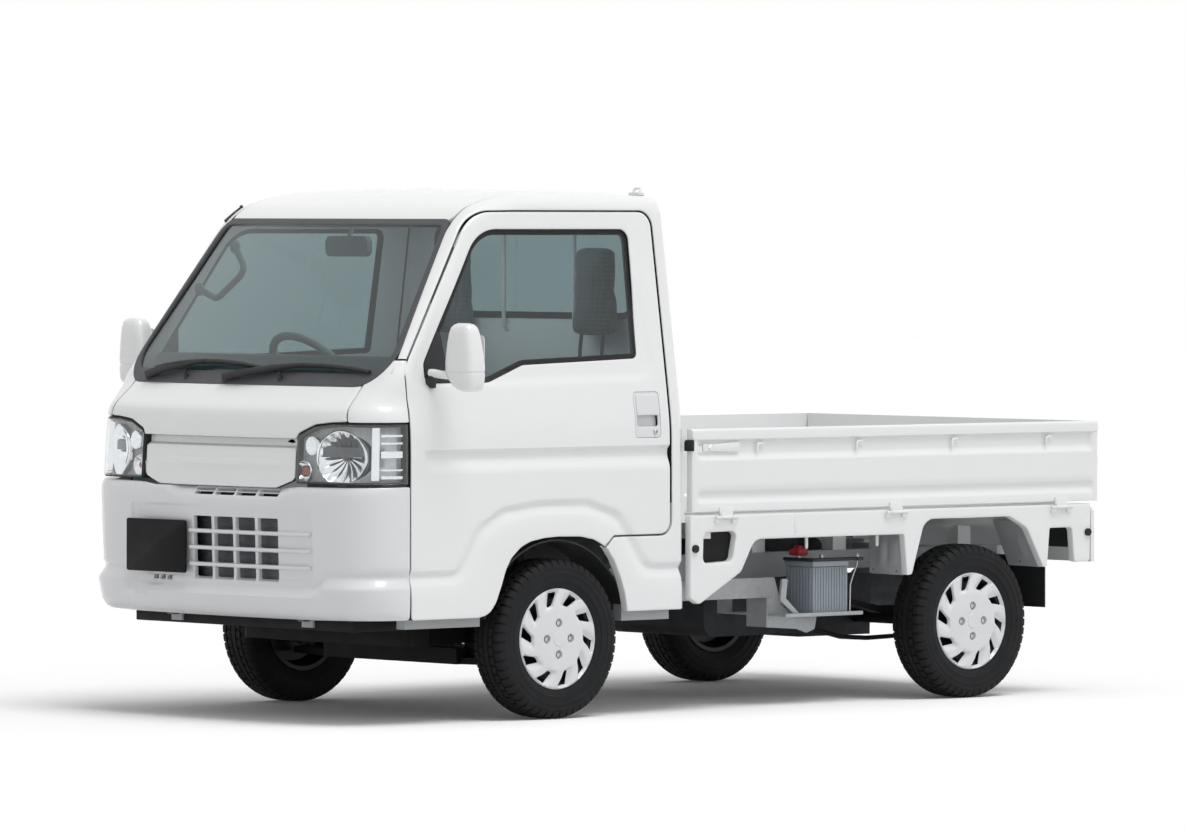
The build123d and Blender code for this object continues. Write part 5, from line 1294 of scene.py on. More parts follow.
def slot_loop(number):
    """Opening of one trough."""
    corners = []
    for radius, turn in ((0.113, -10.0), (0.113, 1.0), (0.154, 3.0), (0.154, -10.0)):
        angle = math.radians(SLOT_PITCH * number + turn + trough_angle(radius))
        corners.append((radius * math.cos(angle), radius * math.sin(angle)))
    return rounded_path(corners, [0.003] * 4, 0.004, True)


def ring_loop(x, y, radius, count):
    """Circle as a closed loop."""
    angles = np.arange(count) * 2 * math.pi / count
    return np.stack([x + radius * np.cos(angles), y + radius * np.sin(angles)], 1)


chart_cover = flat_chart(0, 1, 0.0, (0.0, 0.0, 1.0))
cover_loops = [ring_loop(0, 0, COVER_RADIUS, 96)] + [slot_loop(k) for k in range(SLOT_COUNT)]
cover_loops += [ring_loop(x, y, 0.0145, 20) for x, y in NUT_PLACES]
cover_skin = skin_panel(cover_loops, chart_cover, cover_form, 0.0055, roll=0.0018, wall=0.010,
                        relief=cover_relief)
CUP_PROFILE = ((0.0146, 0.066), (0.0140, 0.056), (0.0001, 0.054))
NUT_PROFILE = ((0.0095, 0.054), (0.0095, 0.062), (0.0078, 0.0655), (0.004, 0.0672), (0.0001, 0.0676))
nut_cups = []
nuts = []
for x, y in NUT_PLACES:
    shift = Matrix.Translation((x, y, 0))
    nut_cups.append(moved(turned(CUP_PROFILE, 20), shift))
    nuts.append(moved(turned(NUT_PROFILE, 6), shift))
hub_ring = turned([(0.0245, 0.0692), (0.0245, 0.0708), (0.0236, 0.0716), (0.0001, 0.0719)], 40)
RIM_PROFILE = [(0.0005, -0.034), (0.062, -0.034), (0.062, -0.004), (0.124, -0.004), (0.140, -0.040),
               (0.143, -0.059), (0.157, -0.060), (0.1575, -0.050), (0.154, 0.048), (0.158, 0.055),
               (0.164, 0.0555), (0.165, 0.051), (0.150, 0.044), (0.134, 0.012), (0.0005, 0.012)]
WHEEL_ROWS = ((joined(cover_skin, *nut_cups, hub_ring), "cover_paint"), (joined(*nuts), "zinc_plate"),
              (turned(RIM_PROFILE, 64), "rim_black"))
WHEEL_TURNS = {"left": Matrix.Rotation(-math.pi / 2, 4, "X"), "right": Matrix.Rotation(math.pi / 2, 4, "X")}
for place in ("front", "rear"):
    for side, turn in WHEEL_TURNS.items():
        name = f"{place}_{side}"
        low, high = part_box(f"tyre_{name}")
        spot = Matrix.Translation((low + high) / 2) @ turn
        make_piece(f"block_tyre_{name}", f"wheel_{name}", [(moved(tyre, spot), "tyre_rubber")],
                   [f"tyre_{name}"], 30)
        rows = [(moved(chunk, spot), finish) for chunk, finish in WHEEL_ROWS]
        make_piece(f"covered_wheel_{name}", f"wheel_{name}", rows, [f"wheel_{name}"])

# %% [markdown]
# The gates are long pressings with a rolled top rail, a channel for the rope hooks, a flat panel and a
# groove along the foot. The pressing stops short of both ends, which leaves a plain frame there. A section
# swept along the gate couldn't stop short, so a grid is sunk by height and by the distance from the ends.

# %% Gates
GATE_LOW = 0.664
GATE_OUT = 0.735
GATE_WALL = 0.030
GATE_REAR = -1.686
GATE_FRONT = 0.226
GATE_HEIGHTS = (0.664, 0.667, 0.674, 0.690, 0.693, 0.697, 0.702, 0.708, 0.713, 0.718, 0.724, 0.729, 0.733,
                0.738, 0.76, 0.79, 0.815, 0.830, 0.834, 0.838, 0.842, 0.848, 0.854, 0.858, 0.862, 0.88,
                0.894, 0.897, 0.900, 0.903, 0.907, 0.920, 0.931, 0.936, 0.939, 0.941)
RAIL_SINK = ((0.900, 0.903, 0.907, 0.931, 0.936, 0.939, 0.941),
             (0.013, 0.004, 0.0, 0.0, 0.0008, 0.003, 0.006))
PRESS_SINK = ((0.664, 0.667, 0.690, 0.694, 0.708, 0.713, 0.721, 0.726, 0.736, 0.834, 0.838, 0.856, 0.860,
               0.900), (0.005, 0.002, 0.002, 0.003, 0.0095, 0.0105, 0.0105, 0.0095, 0.0020, 0.0020, 0.0030,
                        0.0130, 0.0140, 0.0140))


def gate_chunk(length):
    """Gate along X from 0 to length, outer face towards +Y at 0, heights as on the truck."""
    ends = np.array((0.0, 0.002, 0.006, 0.016, 0.024, 0.030, 0.036, 0.042, 0.050))
    xs = np.concatenate([ends, np.linspace(0.09, length - 0.09, 24), length - ends[::-1]])
    zs = np.array(GATE_HEIGHTS)
    grid_x, grid_z = np.meshgrid(xs, zs, indexing="ij")
    near_end = np.minimum(grid_x, length - grid_x)
    pressed = smooth_step((near_end - 0.018) / 0.022)
    sink = np.where(grid_z >= 0.9005, np.interp(grid_z, *RAIL_SINK),
                    0.002 + (np.interp(grid_z, *PRESS_SINK) - 0.002) * np.where(grid_z < 0.672, 1, pressed))
    sink = sink + 0.003 * np.clip(1 - near_end / 0.006, 0, 1) ** 2
    outer = np.stack([grid_x, -sink, grid_z], -1).reshape(-1, 3)
    inner = np.stack([grid_x, np.full_like(grid_x, -GATE_WALL), grid_z], -1).reshape(-1, 3)
    rows = len(zs)
    faces = [((i + 1) * rows + k + 1, (i + 1) * rows + k, i * rows + k, i * rows + k + 1)
             for i in range(len(xs) - 1) for k in range(rows - 1)]
    return walled(outer, inner, faces)


def hinge_leaves(places, start, height):
    """Gate's half of its hinges: a strap down to a barrel."""
    chunks = []
    for place in places:
        x = place - start
        chunks.append(soft_box((x - 0.030, -0.003, GATE_LOW - 0.010), (x + 0.030, 0.004, GATE_LOW + 0.016),
                               0.002))
        chunks.append(tube([(x - 0.026, 0.006, height), (x + 0.026, 0.006, height)], 0.0058, 14))
        chunks.append(soft_box((x - 0.026, 0.001, height - 0.002), (x + 0.026, 0.0065, GATE_LOW), 0.0015))
    return joined(*chunks)


def rope_hook(x):
    """Bent bar on a small pad, in the channel under the rail."""
    pad = soft_box((x - 0.034, -0.0145, 0.874), (x - 0.010, -0.009, 0.896), 0.002)
    bends = ((-0.026, -0.007, 0.889), (-0.010, -0.004, 0.890), (-0.003, -0.004, 0.888),
             (0.0, -0.004, 0.883), (0.0, -0.004, 0.862))
    return joined(pad, tube([(x + along, y, z) for along, y, z in bends], 0.0042, 10))


HINGE_HEIGHT = 0.646
SIDE_HINGES = (0.077, -0.710, -1.502)
TAIL_HINGES = (-0.470, 0.470)
HOOK_PLACES = (-0.070, -0.530, -0.981, -1.434)
side_length = GATE_FRONT - GATE_REAR
hooks = joined(*[rope_hook(x - GATE_REAR) for x in HOOK_PLACES])
# The latch at the front end: a lever, a catch with its bent wire, and a striker, measured from that end.
LEVER = ((-0.216, 0.862), (-0.096, 0.865), (-0.096, 0.891), (-0.216, 0.897))
WIRE = ((-0.085, -0.005, 0.888), (-0.075, -0.001, 0.878), (-0.085, -0.005, 0.868))
latch = joined(standing(LEVER, [0.008] * 4, -0.015, 0.012, 0.004),
               soft_box((-0.098, -0.015, 0.866), (-0.050, -0.004, 0.892), 0.003),
               soft_box((-0.048, -0.015, 0.862), (-0.018, -0.007, 0.886), 0.002))
latch = joined(moved(latch, Matrix.Translation((side_length, 0, 0))),
               tube([(side_length + x, y, z) for x, y, z in WIRE], 0.0035, 8))
side_gate = joined(gate_chunk(side_length), hinge_leaves(SIDE_HINGES, GATE_REAR, HINGE_HEIGHT), hooks, latch)
side_gate = moved(side_gate, Matrix.Translation((GATE_REAR, GATE_OUT, 0)))
make_pair("side_gate_{}", "gate_{}", [(side_gate, "white_enamel")], ["gate_{}"])
tail_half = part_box("tailgate")[1].y
tail_gate = joined(gate_chunk(2 * tail_half), hinge_leaves(TAIL_HINGES, -tail_half, HINGE_HEIGHT))
tail_turn = Matrix.Translation((GATE_REAR, -tail_half, 0)) @ Matrix.Rotation(math.pi / 2, 4, "Z")
tail_gate = moved(tail_gate, tail_turn)
make_piece("tail_gate", "tailgate", [(tail_gate, "white_enamel")], ["tailgate"])

# %% [markdown]
# The glass is held by wide dark rubbers. The windscreen's rubber widens at the foot into the cowl, where
# the wipers and the washer jets sit. They are placed by their spot on the screen and a height over it, so
# arms and blades follow the curve of the glass.

# %% Windscreen rubber, cowl, wipers and jets
SCREEN_OUTER = rounded_path([(-0.682, 1.094), (-0.5675, 1.638), (0.5675, 1.638), (0.682, 1.094)],
                            [0.11, 0.042, 0.042, 0.11], 0.014, True)
SCREEN_INNER = rounded_path([(-0.651, 1.139), (-0.5515, 1.616), (0.5515, 1.616), (0.651, 1.139)],
                            [0.07, 0.03, 0.03, 0.07], 0.014, True)
screen_ring = skin_panel([SCREEN_OUTER, SCREEN_INNER], chart_front, cab_form, 0.012, roll=0.003,
                         wall=0.010, relief=0.0022)


def over_form(form, chart, u, v, height):
    """Point at a height over a form, by its place on a chart."""
    spot = reach_form(form, *chart(np.array([u]), np.array([v])))
    return Vector((spot + outward(form, spot) * height)[0])


def on_screen(y, z, height):
    """Point over the screen's face at Y and Z."""
    return over_form(cab_form, chart_front, y, z, height)


BLADE_BOW = 0.018


def wiper(pivot, blade_low, blade_high):
    """Arm on a domed pivot, with a bridged blade bent along the glass."""
    base = on_screen(*pivot, 0.0)
    axis = (on_screen(*pivot, 0.02) - base).normalized()
    turn = Matrix.Translation(base) @ axis.to_track_quat("Z", "Y").to_matrix().to_4x4()
    dome = turned([(0.017, -0.004), (0.016, 0.008), (0.012, 0.015), (0.006, 0.018), (0.0001, 0.019)], 20)
    dome = moved(dome, turn)
    middle = [(a + b) / 2 + bow for a, b, bow in zip(blade_low, blade_high, (0, BLADE_BOW))]
    arm = []
    for share, height in ((0, 0.013), (0.25, 0.022), (0.6, 0.020), (1, 0.017)):
        arm.append(on_screen(*[p * (1 - share) + m * share for p, m in zip(pivot, middle)], height))
    arm = tube(arm, [0.016, 0.015, 0.011, 0.008], 8, 0.6)
    spots = []
    for share in np.linspace(0, 1, 17):
        y, z = [a + (b - a) * share for a, b in zip(blade_low, blade_high)]
        spots.append((y, z + BLADE_BOW * 4 * share * (1 - share)))
    heights = 0.010 + 0.007 * (1 - np.linspace(-1, 1, len(spots)) ** 2)
    bridge = tube([on_screen(y, z, height) for (y, z), height in zip(spots, heights)], 0.0065, 8)
    rubber = tube([on_screen(y, z, 0.005) for y, z in spots], 0.0052, 6)
    claws = [tube([on_screen(*spots[k], 0.004), on_screen(*spots[k], 0.017)], 0.006, 8)
             for k in (2, 6, 10, 14)]
    return joined(dome, arm, bridge, rubber, *claws)


wipers = joined(wiper((-0.500, 1.112), (-0.480, 1.138), (0.088, 1.146)),
                wiper((-0.062, 1.110), (0.019, 1.133), (0.592, 1.139)))
jets = []
for jet_y in (-0.285, 0.205):
    jets.append(tube([on_screen(jet_y, 1.112, -0.004), on_screen(jet_y, 1.118, 0.014)], [0.012, 0.007], 10))
    jets.append(tube([on_screen(jet_y, 1.118, 0.012), on_screen(jet_y, 1.126, 0.022)], 0.006, 8))
make_piece("screen_rubber_and_cowl", "chassis",
           [(screen_ring, "cowl_moulding"), (joined(*jets), "black_polypropylene")], ["cowl_panel"])
make_piece("wiper_arms_and_blades", "chassis", [(wipers, "black_polypropylene")], ["wipers"])

# %% [markdown]
# Each headlamp is a box with bright bowls behind a clear cover: a large bowl with a bar across it, a small
# bowl with an amber bulb towards the middle of the truck, and bright slats that wrap round the corner.
# All of it is real depth behind the glass, because a painted lamp looks flat as soon as the view turns.

# %% Headlamps
LAMP_END = gap_u(1.459, 0.87)
LAMP_LOOP = rounded_path([(0.391, 0.782), (0.391, 0.928), (0.400, 0.941), (0.471, 0.970), (0.546, 0.978),
                          (LAMP_END, 0.979), (LAMP_END, 0.779)],
                         [0.012, 0.006, 0.02, 0.03, 0.02, 0.006, 0.006], 0.010, True)
lamp_cover = skin_panel([shrunk(LAMP_LOOP, 0.004)], chart_round, cab_form, 0.014, roll=0.002, wall=0.0035,
                        relief=-0.001)
lamp_bezel = skin_panel([LAMP_LOOP, shrunk(LAMP_LOOP, 0.009)], chart_round, cab_form, 0.05, roll=0.0015,
                        wall=0.050, relief=-0.0055)
# Main, small and top bowl: place and radius of the hole, then height, turn, radius, depth and flutes.
BOWLS = (((0.572, 0.868), 0.082, -0.024, 24, 0.084, 0.050, 0.006),
         ((0.422, 0.823), 0.030, -0.012, 4, 0.031, 0.030, 0.0),
         ((0.455, 0.905), 0.0285, -0.012, 6, 0.030, 0.014, 0.003))
bowl_holes = [ring_loop(*spot, hole, 40) for spot, hole, *_ in BOWLS]
lamp_back = skin_panel([shrunk(LAMP_LOOP, 0.004)] + bowl_holes, chart_round, cab_form, 0.016, roll=0.002,
                       wall=0.030, relief=-0.030)


def lamp_bowl(u, z, height, turn_deg, radius, depth, flute):
    """Open fluted dish turned outward, with the place of its middle and its axis."""
    spot = over_form(cab_form, chart_round, u, z, height)
    axis = Vector((math.cos(math.radians(turn_deg)), math.sin(math.radians(turn_deg)), 0))
    place = Matrix.Translation(spot) @ axis.to_track_quat("Z", "Y").to_matrix().to_4x4()
    shares = (0.16, 0.4, 0.6, 0.78, 0.92, 1.0)
    inner = [(radius * s, depth * (s * s - 1)) for s in shares]
    outer = [(radius * s + 0.002, depth * (s * s - 1) - 0.004) for s in reversed(shares)]
    points, faces = turned([(0.0001, -depth)] + inner + outer + [(0.0001, -depth - 0.004)], 96)
    angle = np.arctan2(points[:, 1], points[:, 0])
    reach = np.hypot(points[:, 0], points[:, 1]) / radius
    points[:, 2] += flute * np.abs(np.sin(8 * angle)) * np.clip(reach, 0, 1) * np.clip(6 * (1 - reach), 0, 1)
    return moved((points, faces), place), place


def lamp_slat(low_u, high_u, z, tall, height):
    """Bright strip that follows the corner behind the cover."""
    loop = box_loop((low_u, z), (high_u, z + tall), 0.002, 0.010)
    return skin_panel([loop], chart_round, cab_form, 0.05, roll=0.001, wall=0.045, relief=-height)


def bowl_rim(inner, crown, outer, steps):
    """Bright ring round a bowl."""
    return turned([(inner, -0.003), (crown, 0.0015), (outer, -0.002), (outer, -0.02), (inner, -0.02),
                   (inner, -0.003)], steps)


bowls, (main_place, small_place, _) = zip(*[lamp_bowl(*spot, *shape) for spot, _, *shape in BOWLS])
BULB = ((0.012, -0.062), (0.012, -0.040), (0.010, -0.030), (0.006, -0.026), (0.0001, -0.025))
AMBER = ((0.009, -0.030), (0.0135, -0.020), (0.0140, -0.012), (0.0105, -0.004), (0.005, 0.0),
         (0.0001, 0.0008))
main_bulb = moved(turned(BULB, 20), main_place)
amber = moved(turned(AMBER, 20), small_place)
lamp_bar = moved(soft_box((-0.081, 0.002, -0.034), (0.081, 0.034, -0.010), 0.003), main_place)
rims = joined(moved(bowl_rim(0.084, 0.088, 0.0905, 48), main_place),
              moved(bowl_rim(0.031, 0.034, 0.036, 32), small_place))
SLAT_ROWS = ((0.800, 0.010), (0.826, 0.006), (0.868, 0.022), (0.912, 0.007), (0.936, 0.008))
slats = [lamp_slat(0.664, LAMP_END - 0.012, z, tall, 0.014) for z, tall in SLAT_ROWS]
upright_slat = lamp_slat(0.645, 0.661, 0.795, 0.172, 0.010)
lamp_bright = joined(*bowls, rims, upright_slat, *slats)
make_pair("lamp_inside_{}", "chassis",
          [(lamp_bright, "bright_coat"), (lamp_back, "lamp_lining"), (lamp_bar, "lamp_shade"),
           (main_bulb, "lamp_shade"), (amber, "amber_bulb"), (lamp_bezel, "black_polypropylene")],
          ["headlamps"])
make_pair("lamp_cover_{}", "chassis", [(lamp_cover, "lamp_glass")], ["lamp_covers"])

# %% [markdown]
# The bumper's recess holds the grille bars and the blank black number plate. The bars are bent tubes laid
# over the bumper's form. A small cover for the towing eye sits on the lip.

# %% Grille bars and blank plate
BAR_HEIGHTS = (0.5075, 0.562, 0.6165)


def on_bumper(y, z, height):
    """Point over the bumper's face at Y and Z."""
    return over_form(bumper_form, chart_front, y, z, height)


BAR_PLACES = np.linspace(-0.118, 0.462, 24)
grille_bars = joined(*[tube([on_bumper(y, z, -0.001) for y in BAR_PLACES], 0.0075, 10, 0.85)
                       for z in BAR_HEIGHTS])
PLATE_X = 1.6910
plate_corners = box_corners((-0.432, 0.476), (-0.124, 0.649))
# The plate is drawn in Y and Z, so its X, Y and Z are turned round by one place.
face_ahead = Matrix(((0, 0, 1, 0), (1, 0, 0, 0), (0, 1, 0, 0), (0, 0, 0, 1)))
blank_plate = moved(plate(plate_corners, [0.008] * 4, 0.006, 0.0025),
                    Matrix.Translation((PLATE_X, 0, 0)) @ face_ahead)
EYE_LOOP = box_loop((-0.420, 0.385), (-0.350, 0.440), 0.006, 0.01)
eye_cover = skin_panel([EYE_LOOP], chart_front, bumper_form, 0.03, roll=0.0015, wall=0.004, relief=0.0012)
make_piece("grille_bars_and_plate", "chassis",
           [(joined(grille_bars, eye_cover), "white_moulding"), (blank_plate, "plate_black")])

# %% [markdown]
# The mirrors are rounded heads on short arms, with a black base in the corner of the door window. A head
# could be a box with soft edges; rings stacked from foot to top also give its parting line and its taper.

# %% Door mirrors
MIRROR_RINGS = ((1.083, 1.302, 1.343, 0.846, 0.888), (1.087, 1.292, 1.352, 0.830, 0.896),
                (1.100, 1.283, 1.358, 0.806, 0.902), (1.120, 1.279, 1.361, 0.786, 0.905),
                (1.1405, 1.277, 1.362, 0.771, 0.906), (1.1425, 1.279, 1.360, 0.773, 0.904),
                (1.1465, 1.279, 1.360, 0.772, 0.904), (1.1485, 1.277, 1.362, 0.769, 0.906),
                (1.170, 1.277, 1.362, 0.768, 0.906), (1.200, 1.280, 1.362, 0.772, 0.903),
                (1.240, 1.286, 1.361, 0.780, 0.898), (1.270, 1.292, 1.359, 0.788, 0.893),
                (1.288, 1.298, 1.355, 0.795, 0.888), (1.298, 1.306, 1.348, 0.806, 0.878),
                (1.303, 1.316, 1.340, 0.822, 0.862))
RING_POINTS = 40


def lofted(rings):
    """Closed form through upright-stacked rounded rectangles of (z, x low, x high, y low, y high)."""
    points = []
    for z, x0, x1, y0, y1 in rings:
        for angle in np.arange(RING_POINTS) * 2 * math.pi / RING_POINTS:
            c, s = math.cos(angle), math.sin(angle)
            points.append(((x0 + x1) / 2 + (x1 - x0) / 2 * math.copysign(abs(c) ** 0.55, c),
                           (y0 + y1) / 2 + (y1 - y0) / 2 * math.copysign(abs(s) ** 0.55, s), z))
    return np.array(points), capped_faces(len(rings), RING_POINTS)


def mirror_chunks():
    """Left mirror: head shell with arm, glass, black pivot."""
    glass_turn = Matrix.Rotation(-math.pi / 2, 4, "Y") @ Matrix.Rotation(math.pi / 2, 4, "Z")
    glass = moved(plate(box_corners((-0.046, -0.060), (0.046, 0.060)), [0.02] * 4, 0.003, 0.001),
                  Matrix.Translation((1.2795, 0.838, 1.206)) @ glass_turn)
    base_y = float(side_half(1.135))
    arm = tube([(1.350, base_y + 0.004, 1.139), (1.350, base_y + 0.024, 1.139),
                (1.344, base_y + 0.048, 1.136), (1.336, 0.775, 1.134), (1.334, 0.800, 1.134)],
               [0.016, 0.016, 0.015, 0.015, 0.014], 14, 0.85)
    pivot = joined(tube([(1.350, base_y - 0.006, 1.112), (1.350, base_y + 0.018, 1.112)], [0.018, 0.014], 16),
                   tube([(1.350, base_y + 0.012, 1.092), (1.350, base_y + 0.012, 1.130)], [0.011, 0.013], 16))
    return joined(lofted(MIRROR_RINGS), arm), glass, pivot


mirror_head, mirror_glass, mirror_pivot = mirror_chunks()
BASE_LOOP = rounded_path([(1.366, 1.110), (1.366, 1.172), (1.286, 1.290), (1.262, 1.110)],
                         [0.016, 0.03, 0.01, 0.01], 0.01, True)
mirror_base = skin_panel([BASE_LOOP], chart_side, cab_form, 0.02, roll=0.003, wall=0.016, relief=-0.0055)
make_pair("door_mirror_{}", "door_{}",
          [(mirror_head, "white_enamel"), (joined(mirror_base, mirror_pivot), "black_polypropylene"),
           (mirror_glass, "bright_coat")], ["mirror_{}"])

# %% [markdown]
# The door handle is a flap over a finger hollow in a shallow plate, with a key barrel below it. All three
# are small panels cut from the door's own form, so they follow its curve.


# %% Door handles
def side_patch(low, high, corner, lift, wall=0.003, roll=0.002):
    """Small rounded plate on the side's skin."""
    loop = box_loop(low, high, corner, 0.008)
    return skin_panel([loop], chart_side, cab_form, 0.02, roll=roll, wall=wall, relief=lift)


handle_plate = skin_panel([shrunk(HANDLE_LOOP, 0.0010), FINGER_LOOP], chart_side, cab_form, 0.02,
                          roll=(0.0014, 0.003), wall=0.006, relief=-0.0004)
finger_dish = side_patch((0.368, 0.951), (0.468, 0.997), 0.008, -0.016, wall=0.019)
handle_flap = side_patch((0.370, 0.990), (0.466, 1.060), 0.008, 0.0035, roll=0.003)
KEY_X, KEY_Z = 0.386, 0.936
KEY_PROFILE = ((0.0085, 0.0), (0.0085, 0.002), (0.0070, 0.0035), (0.0035, 0.0036), (0.0001, 0.0036))
key_y = float(side_half(KEY_Z))
key_turn = Matrix.Translation((KEY_X, key_y + 0.0015, KEY_Z)) @ Matrix.Rotation(-math.pi / 2, 4, "X")
key_barrel = moved(turned(KEY_PROFILE, 24), key_turn)
key_slit = moved(soft_box((-0.0012, -0.004, 0.0030), (0.0012, 0.004, 0.0042), 0.0004), key_turn)
make_pair("door_handle_{}", "door_{}",
          [(joined(handle_plate, finger_dish, handle_flap), "white_moulding"), (key_barrel, "zinc_plate"),
           (key_slit, "black_polypropylene")])

# %% [markdown]
# The bed stands on pressed sills that are cut away for the wheels. The hinge halves, the seam and the plates
# beside the rear wheels draw the lower line of the truck. The sill is flat, so its form is only a plane, but
# as a panel it has the same rolled edges as the cab.

# %% Bed sills and fender plates
SILL_FACE = 0.733
SEAM_X = -0.239
SILL_RADII = [0.004, 0.012, 0.02, 0.03, 0.05, 0.006, 0.008, 0.012, 0.06, 0.04, 0.06, 0.05, 0.012, 0.010,
              0.006, 0.014, 0.014, 0.016, 0.004]
SILL_LOOP = rounded_path([(0.234, 0.655), (0.234, 0.380), (0.194, 0.357), (0.004, 0.461), (-0.060, 0.569),
                          (-0.752, 0.569), (-0.766, 0.430), (-0.790, 0.430), (-0.846, 0.600),
                          (-0.880, 0.618), (-1.260, 0.618), (-1.340, 0.577), (-1.420, 0.440),
                          (-1.440, 0.440), (-1.452, 0.574), (-1.560, 0.574), (-1.571, 0.453),
                          (-1.648, 0.453), (-1.652, 0.655)], SILL_RADII, 0.012, True)
HATCH_LOOP = rounded_path([(0.176, 0.494), (0.173, 0.596), (0.024, 0.598), (0.044, 0.500)], [0.018] * 4,
                          0.008, True)


def sill_form(p):
    """Outside distance from the flat face of the sills."""
    return np.abs(p[:, 1]) - SILL_FACE


def sill_relief(skin):
    """Seam where the front piece of the sill laps over the long one."""
    seam = smooth_step((0.0024 - np.abs(skin[:, 0] - SEAM_X)) / 0.0014)
    return -0.003 * seam * (skin[:, 2] > 0.56)


def facing_ahead(loops, x, lean, relief):
    """Pressed plate that faces forward, at x for a height of 0.6 and leaning by lean per metre of height."""
    chart = flat_chart(1, 2, x - 0.3, (1.0, 0.0, 0.0))
    return skin_panel(loops, chart, lambda p: p[:, 0] - x - lean * (p[:, 2] - 0.6), 0.012, roll=0.002,
                      wall=0.004, relief=relief)


def embossed(loops, lift):
    """Relief that lifts the inside of some loops in Y and Z."""
    def relief(skin):
        return sum(lift * smooth_step(0.5 + depth_inside(skin[:, 1:], loop) / 0.010) for loop in loops)

    return relief


sill_lines = ([SEAM_X + d for d in (-0.003, -0.002, -0.001, 0.0, 0.001, 0.002, 0.003)], ())
sill_skin = skin_panel([SILL_LOOP, HATCH_LOOP], chart_side, sill_form, 0.03, sill_lines,
                       roll=(0.005, 0.006), relief=sill_relief)
hatch_back = standing(box_corners((0.0, 0.47), (0.20, 0.62)), [0.01] * 4, 0.7015, 0.005)
hinge_halves = []
for place in SIDE_HINGES:
    for way in (-1, 1):
        near, far = sorted((place + way * 0.0275, place + way * 0.050))
        hinge_halves.append(tube([(near, 0.741, HINGE_HEIGHT), (far, 0.741, HINGE_HEIGHT)], 0.0058, 14))
        strap_low, strap_high = HINGE_HEIGHT - 0.020, HINGE_HEIGHT - 0.002
        hinge_halves.append(soft_box((near, SILL_FACE - 0.002, strap_low), (far, 0.7405, strap_high), 0.0015))
FRONT_PLATE = ((0.545, 0.431), (0.706, 0.429), (0.706, 0.615), (0.545, 0.615))
REAR_PLATE = ((0.550, 0.440), (0.706, 0.438), (0.706, 0.600), (0.550, 0.600))
front_ribs = [box_loop((y, 0.463), (y + width, 0.552), 0.010, 0.01) for y,
              width in ((0.592, 0.033), (0.646, 0.042))]
rear_rib = box_loop((0.634, 0.480), (0.658, 0.546), 0.010, 0.01)
front_plate = facing_ahead([rounded_path(FRONT_PLATE, [0.006] * 4, 0.012, True),
                            ring_loop(0.562, 0.445, 0.0045, 12), ring_loop(0.675, 0.442, 0.0045, 12)],
                           -0.767, 0.0, embossed(front_ribs, 0.006))
rear_plate = facing_ahead([rounded_path(REAR_PLATE, [0.006] * 4, 0.012, True),
                           ring_loop(0.612, 0.456, 0.004, 12)], -1.352, 0.50, embossed([rear_rib], 0.005))
rope_pins = [tube([(x, 0.690, 0.530), (x, 0.690, 0.536), (x, 0.690, 0.600)], [0.0045, 0.0058, 0.0058], 12)
             for x in (-0.335, -0.664, -1.588)]
# The fender plates face forward into shade; their grey primer is partly their own paint and partly painted
# shade.
make_pair("pressed_sill_{}", "chassis",
          [(joined(sill_skin, *rope_pins, *hinge_halves), "white_enamel"),
           (joined(front_plate, rear_plate), "grey_primer"), (hatch_back, "chassis_black")],
          ["bed_sill_{}"])

# %% [markdown]
# The wheel arch is dark inside, because a wall behind the wheel closes it. A ribbed tray closes the
# underside between the bumper and the front axle. Plain plates with soft edges are enough for both.

# %% Arch walls and undertray
ARCH_WALL = ((0.30, 0.31), (1.12, 0.31), (1.12, 0.50), (1.06, 0.585), (0.98, 0.612), (0.34, 0.612),
             (0.30, 0.58))
arch_wall = standing(ARCH_WALL, [0.01] * 7, 0.352, 0.006)
make_pair("arch_wall_{}", "chassis", [(arch_wall, "black_polypropylene")])
TRAY_HALF = [(1.20, 0.43), (1.12, 0.43), (1.06, 0.345), (0.80, 0.345)]
tray_outline = TRAY_HALF + [(x, -y) for x, y in reversed(TRAY_HALF)]
tray = moved(plate(tray_outline, [0.02] * 8, 0.060, 0.004), Matrix.Translation((0, 0, 0.238)))
tray_ribs = [soft_box((x, -0.32, 0.231), (x + 0.012, 0.32, 0.242), 0.002)
             for x in np.arange(0.88, 1.18, 0.06)]
floor_skirt = soft_box((1.18, -0.56, 0.302), (1.552, 0.56, 0.3365), 0.004)
make_piece("undertray", "chassis",
           [(joined(tray, floor_skirt, *tray_ribs), "chassis_black")])

# %% [markdown]
# The battery stands on a tray behind the cab, held down by a black frame and a hooked rod. A galvanised
# bracket carries the tray, and a steel pipe runs back under the floor. It is all soft boxes, plates and
# tubes, at the places measured in the photograph.

# %% Battery, tray bracket and pipe
BATTERY_LOW = (-0.566, 0.515, 0.3075)
BATTERY_HIGH = (-0.404, 0.6505, 0.484)
LID_LOW = 0.464
LID_LAP = 0.003
RIB_HALF = 0.0024
(low_x, low_y, _), (high_x, high_y, high_z) = BATTERY_LOW, BATTERY_HIGH
case = soft_box(BATTERY_LOW, (high_x, high_y, LID_LOW), 0.006)
lid = soft_box((low_x - LID_LAP, low_y - LID_LAP, LID_LOW), (high_x + LID_LAP, high_y + LID_LAP, high_z),
               0.005)
case_ribs = [soft_box((x - RIB_HALF, 0.648, 0.318), (x + RIB_HALF, 0.6535, 0.462), 0.001)
             for x in np.linspace(-0.554, -0.416, 12)]
case_ribs += [soft_box((-0.406, y - RIB_HALF, 0.318), (-0.4012, y + RIB_HALF, 0.462), 0.001)
              for y in np.linspace(0.530, 0.636, 8)]
HOLD_LINE = ((-0.400, 0.512), (-0.398, 0.640), (-0.402, 0.652), (-0.414, 0.654), (-0.618, 0.654))
hold_frame = joined(tube([(x, y, 0.4885) for x, y in HOLD_LINE], 0.0062, 10),
                    soft_box((-0.630, 0.634, 0.482), (-0.600, 0.662, 0.494), 0.003))
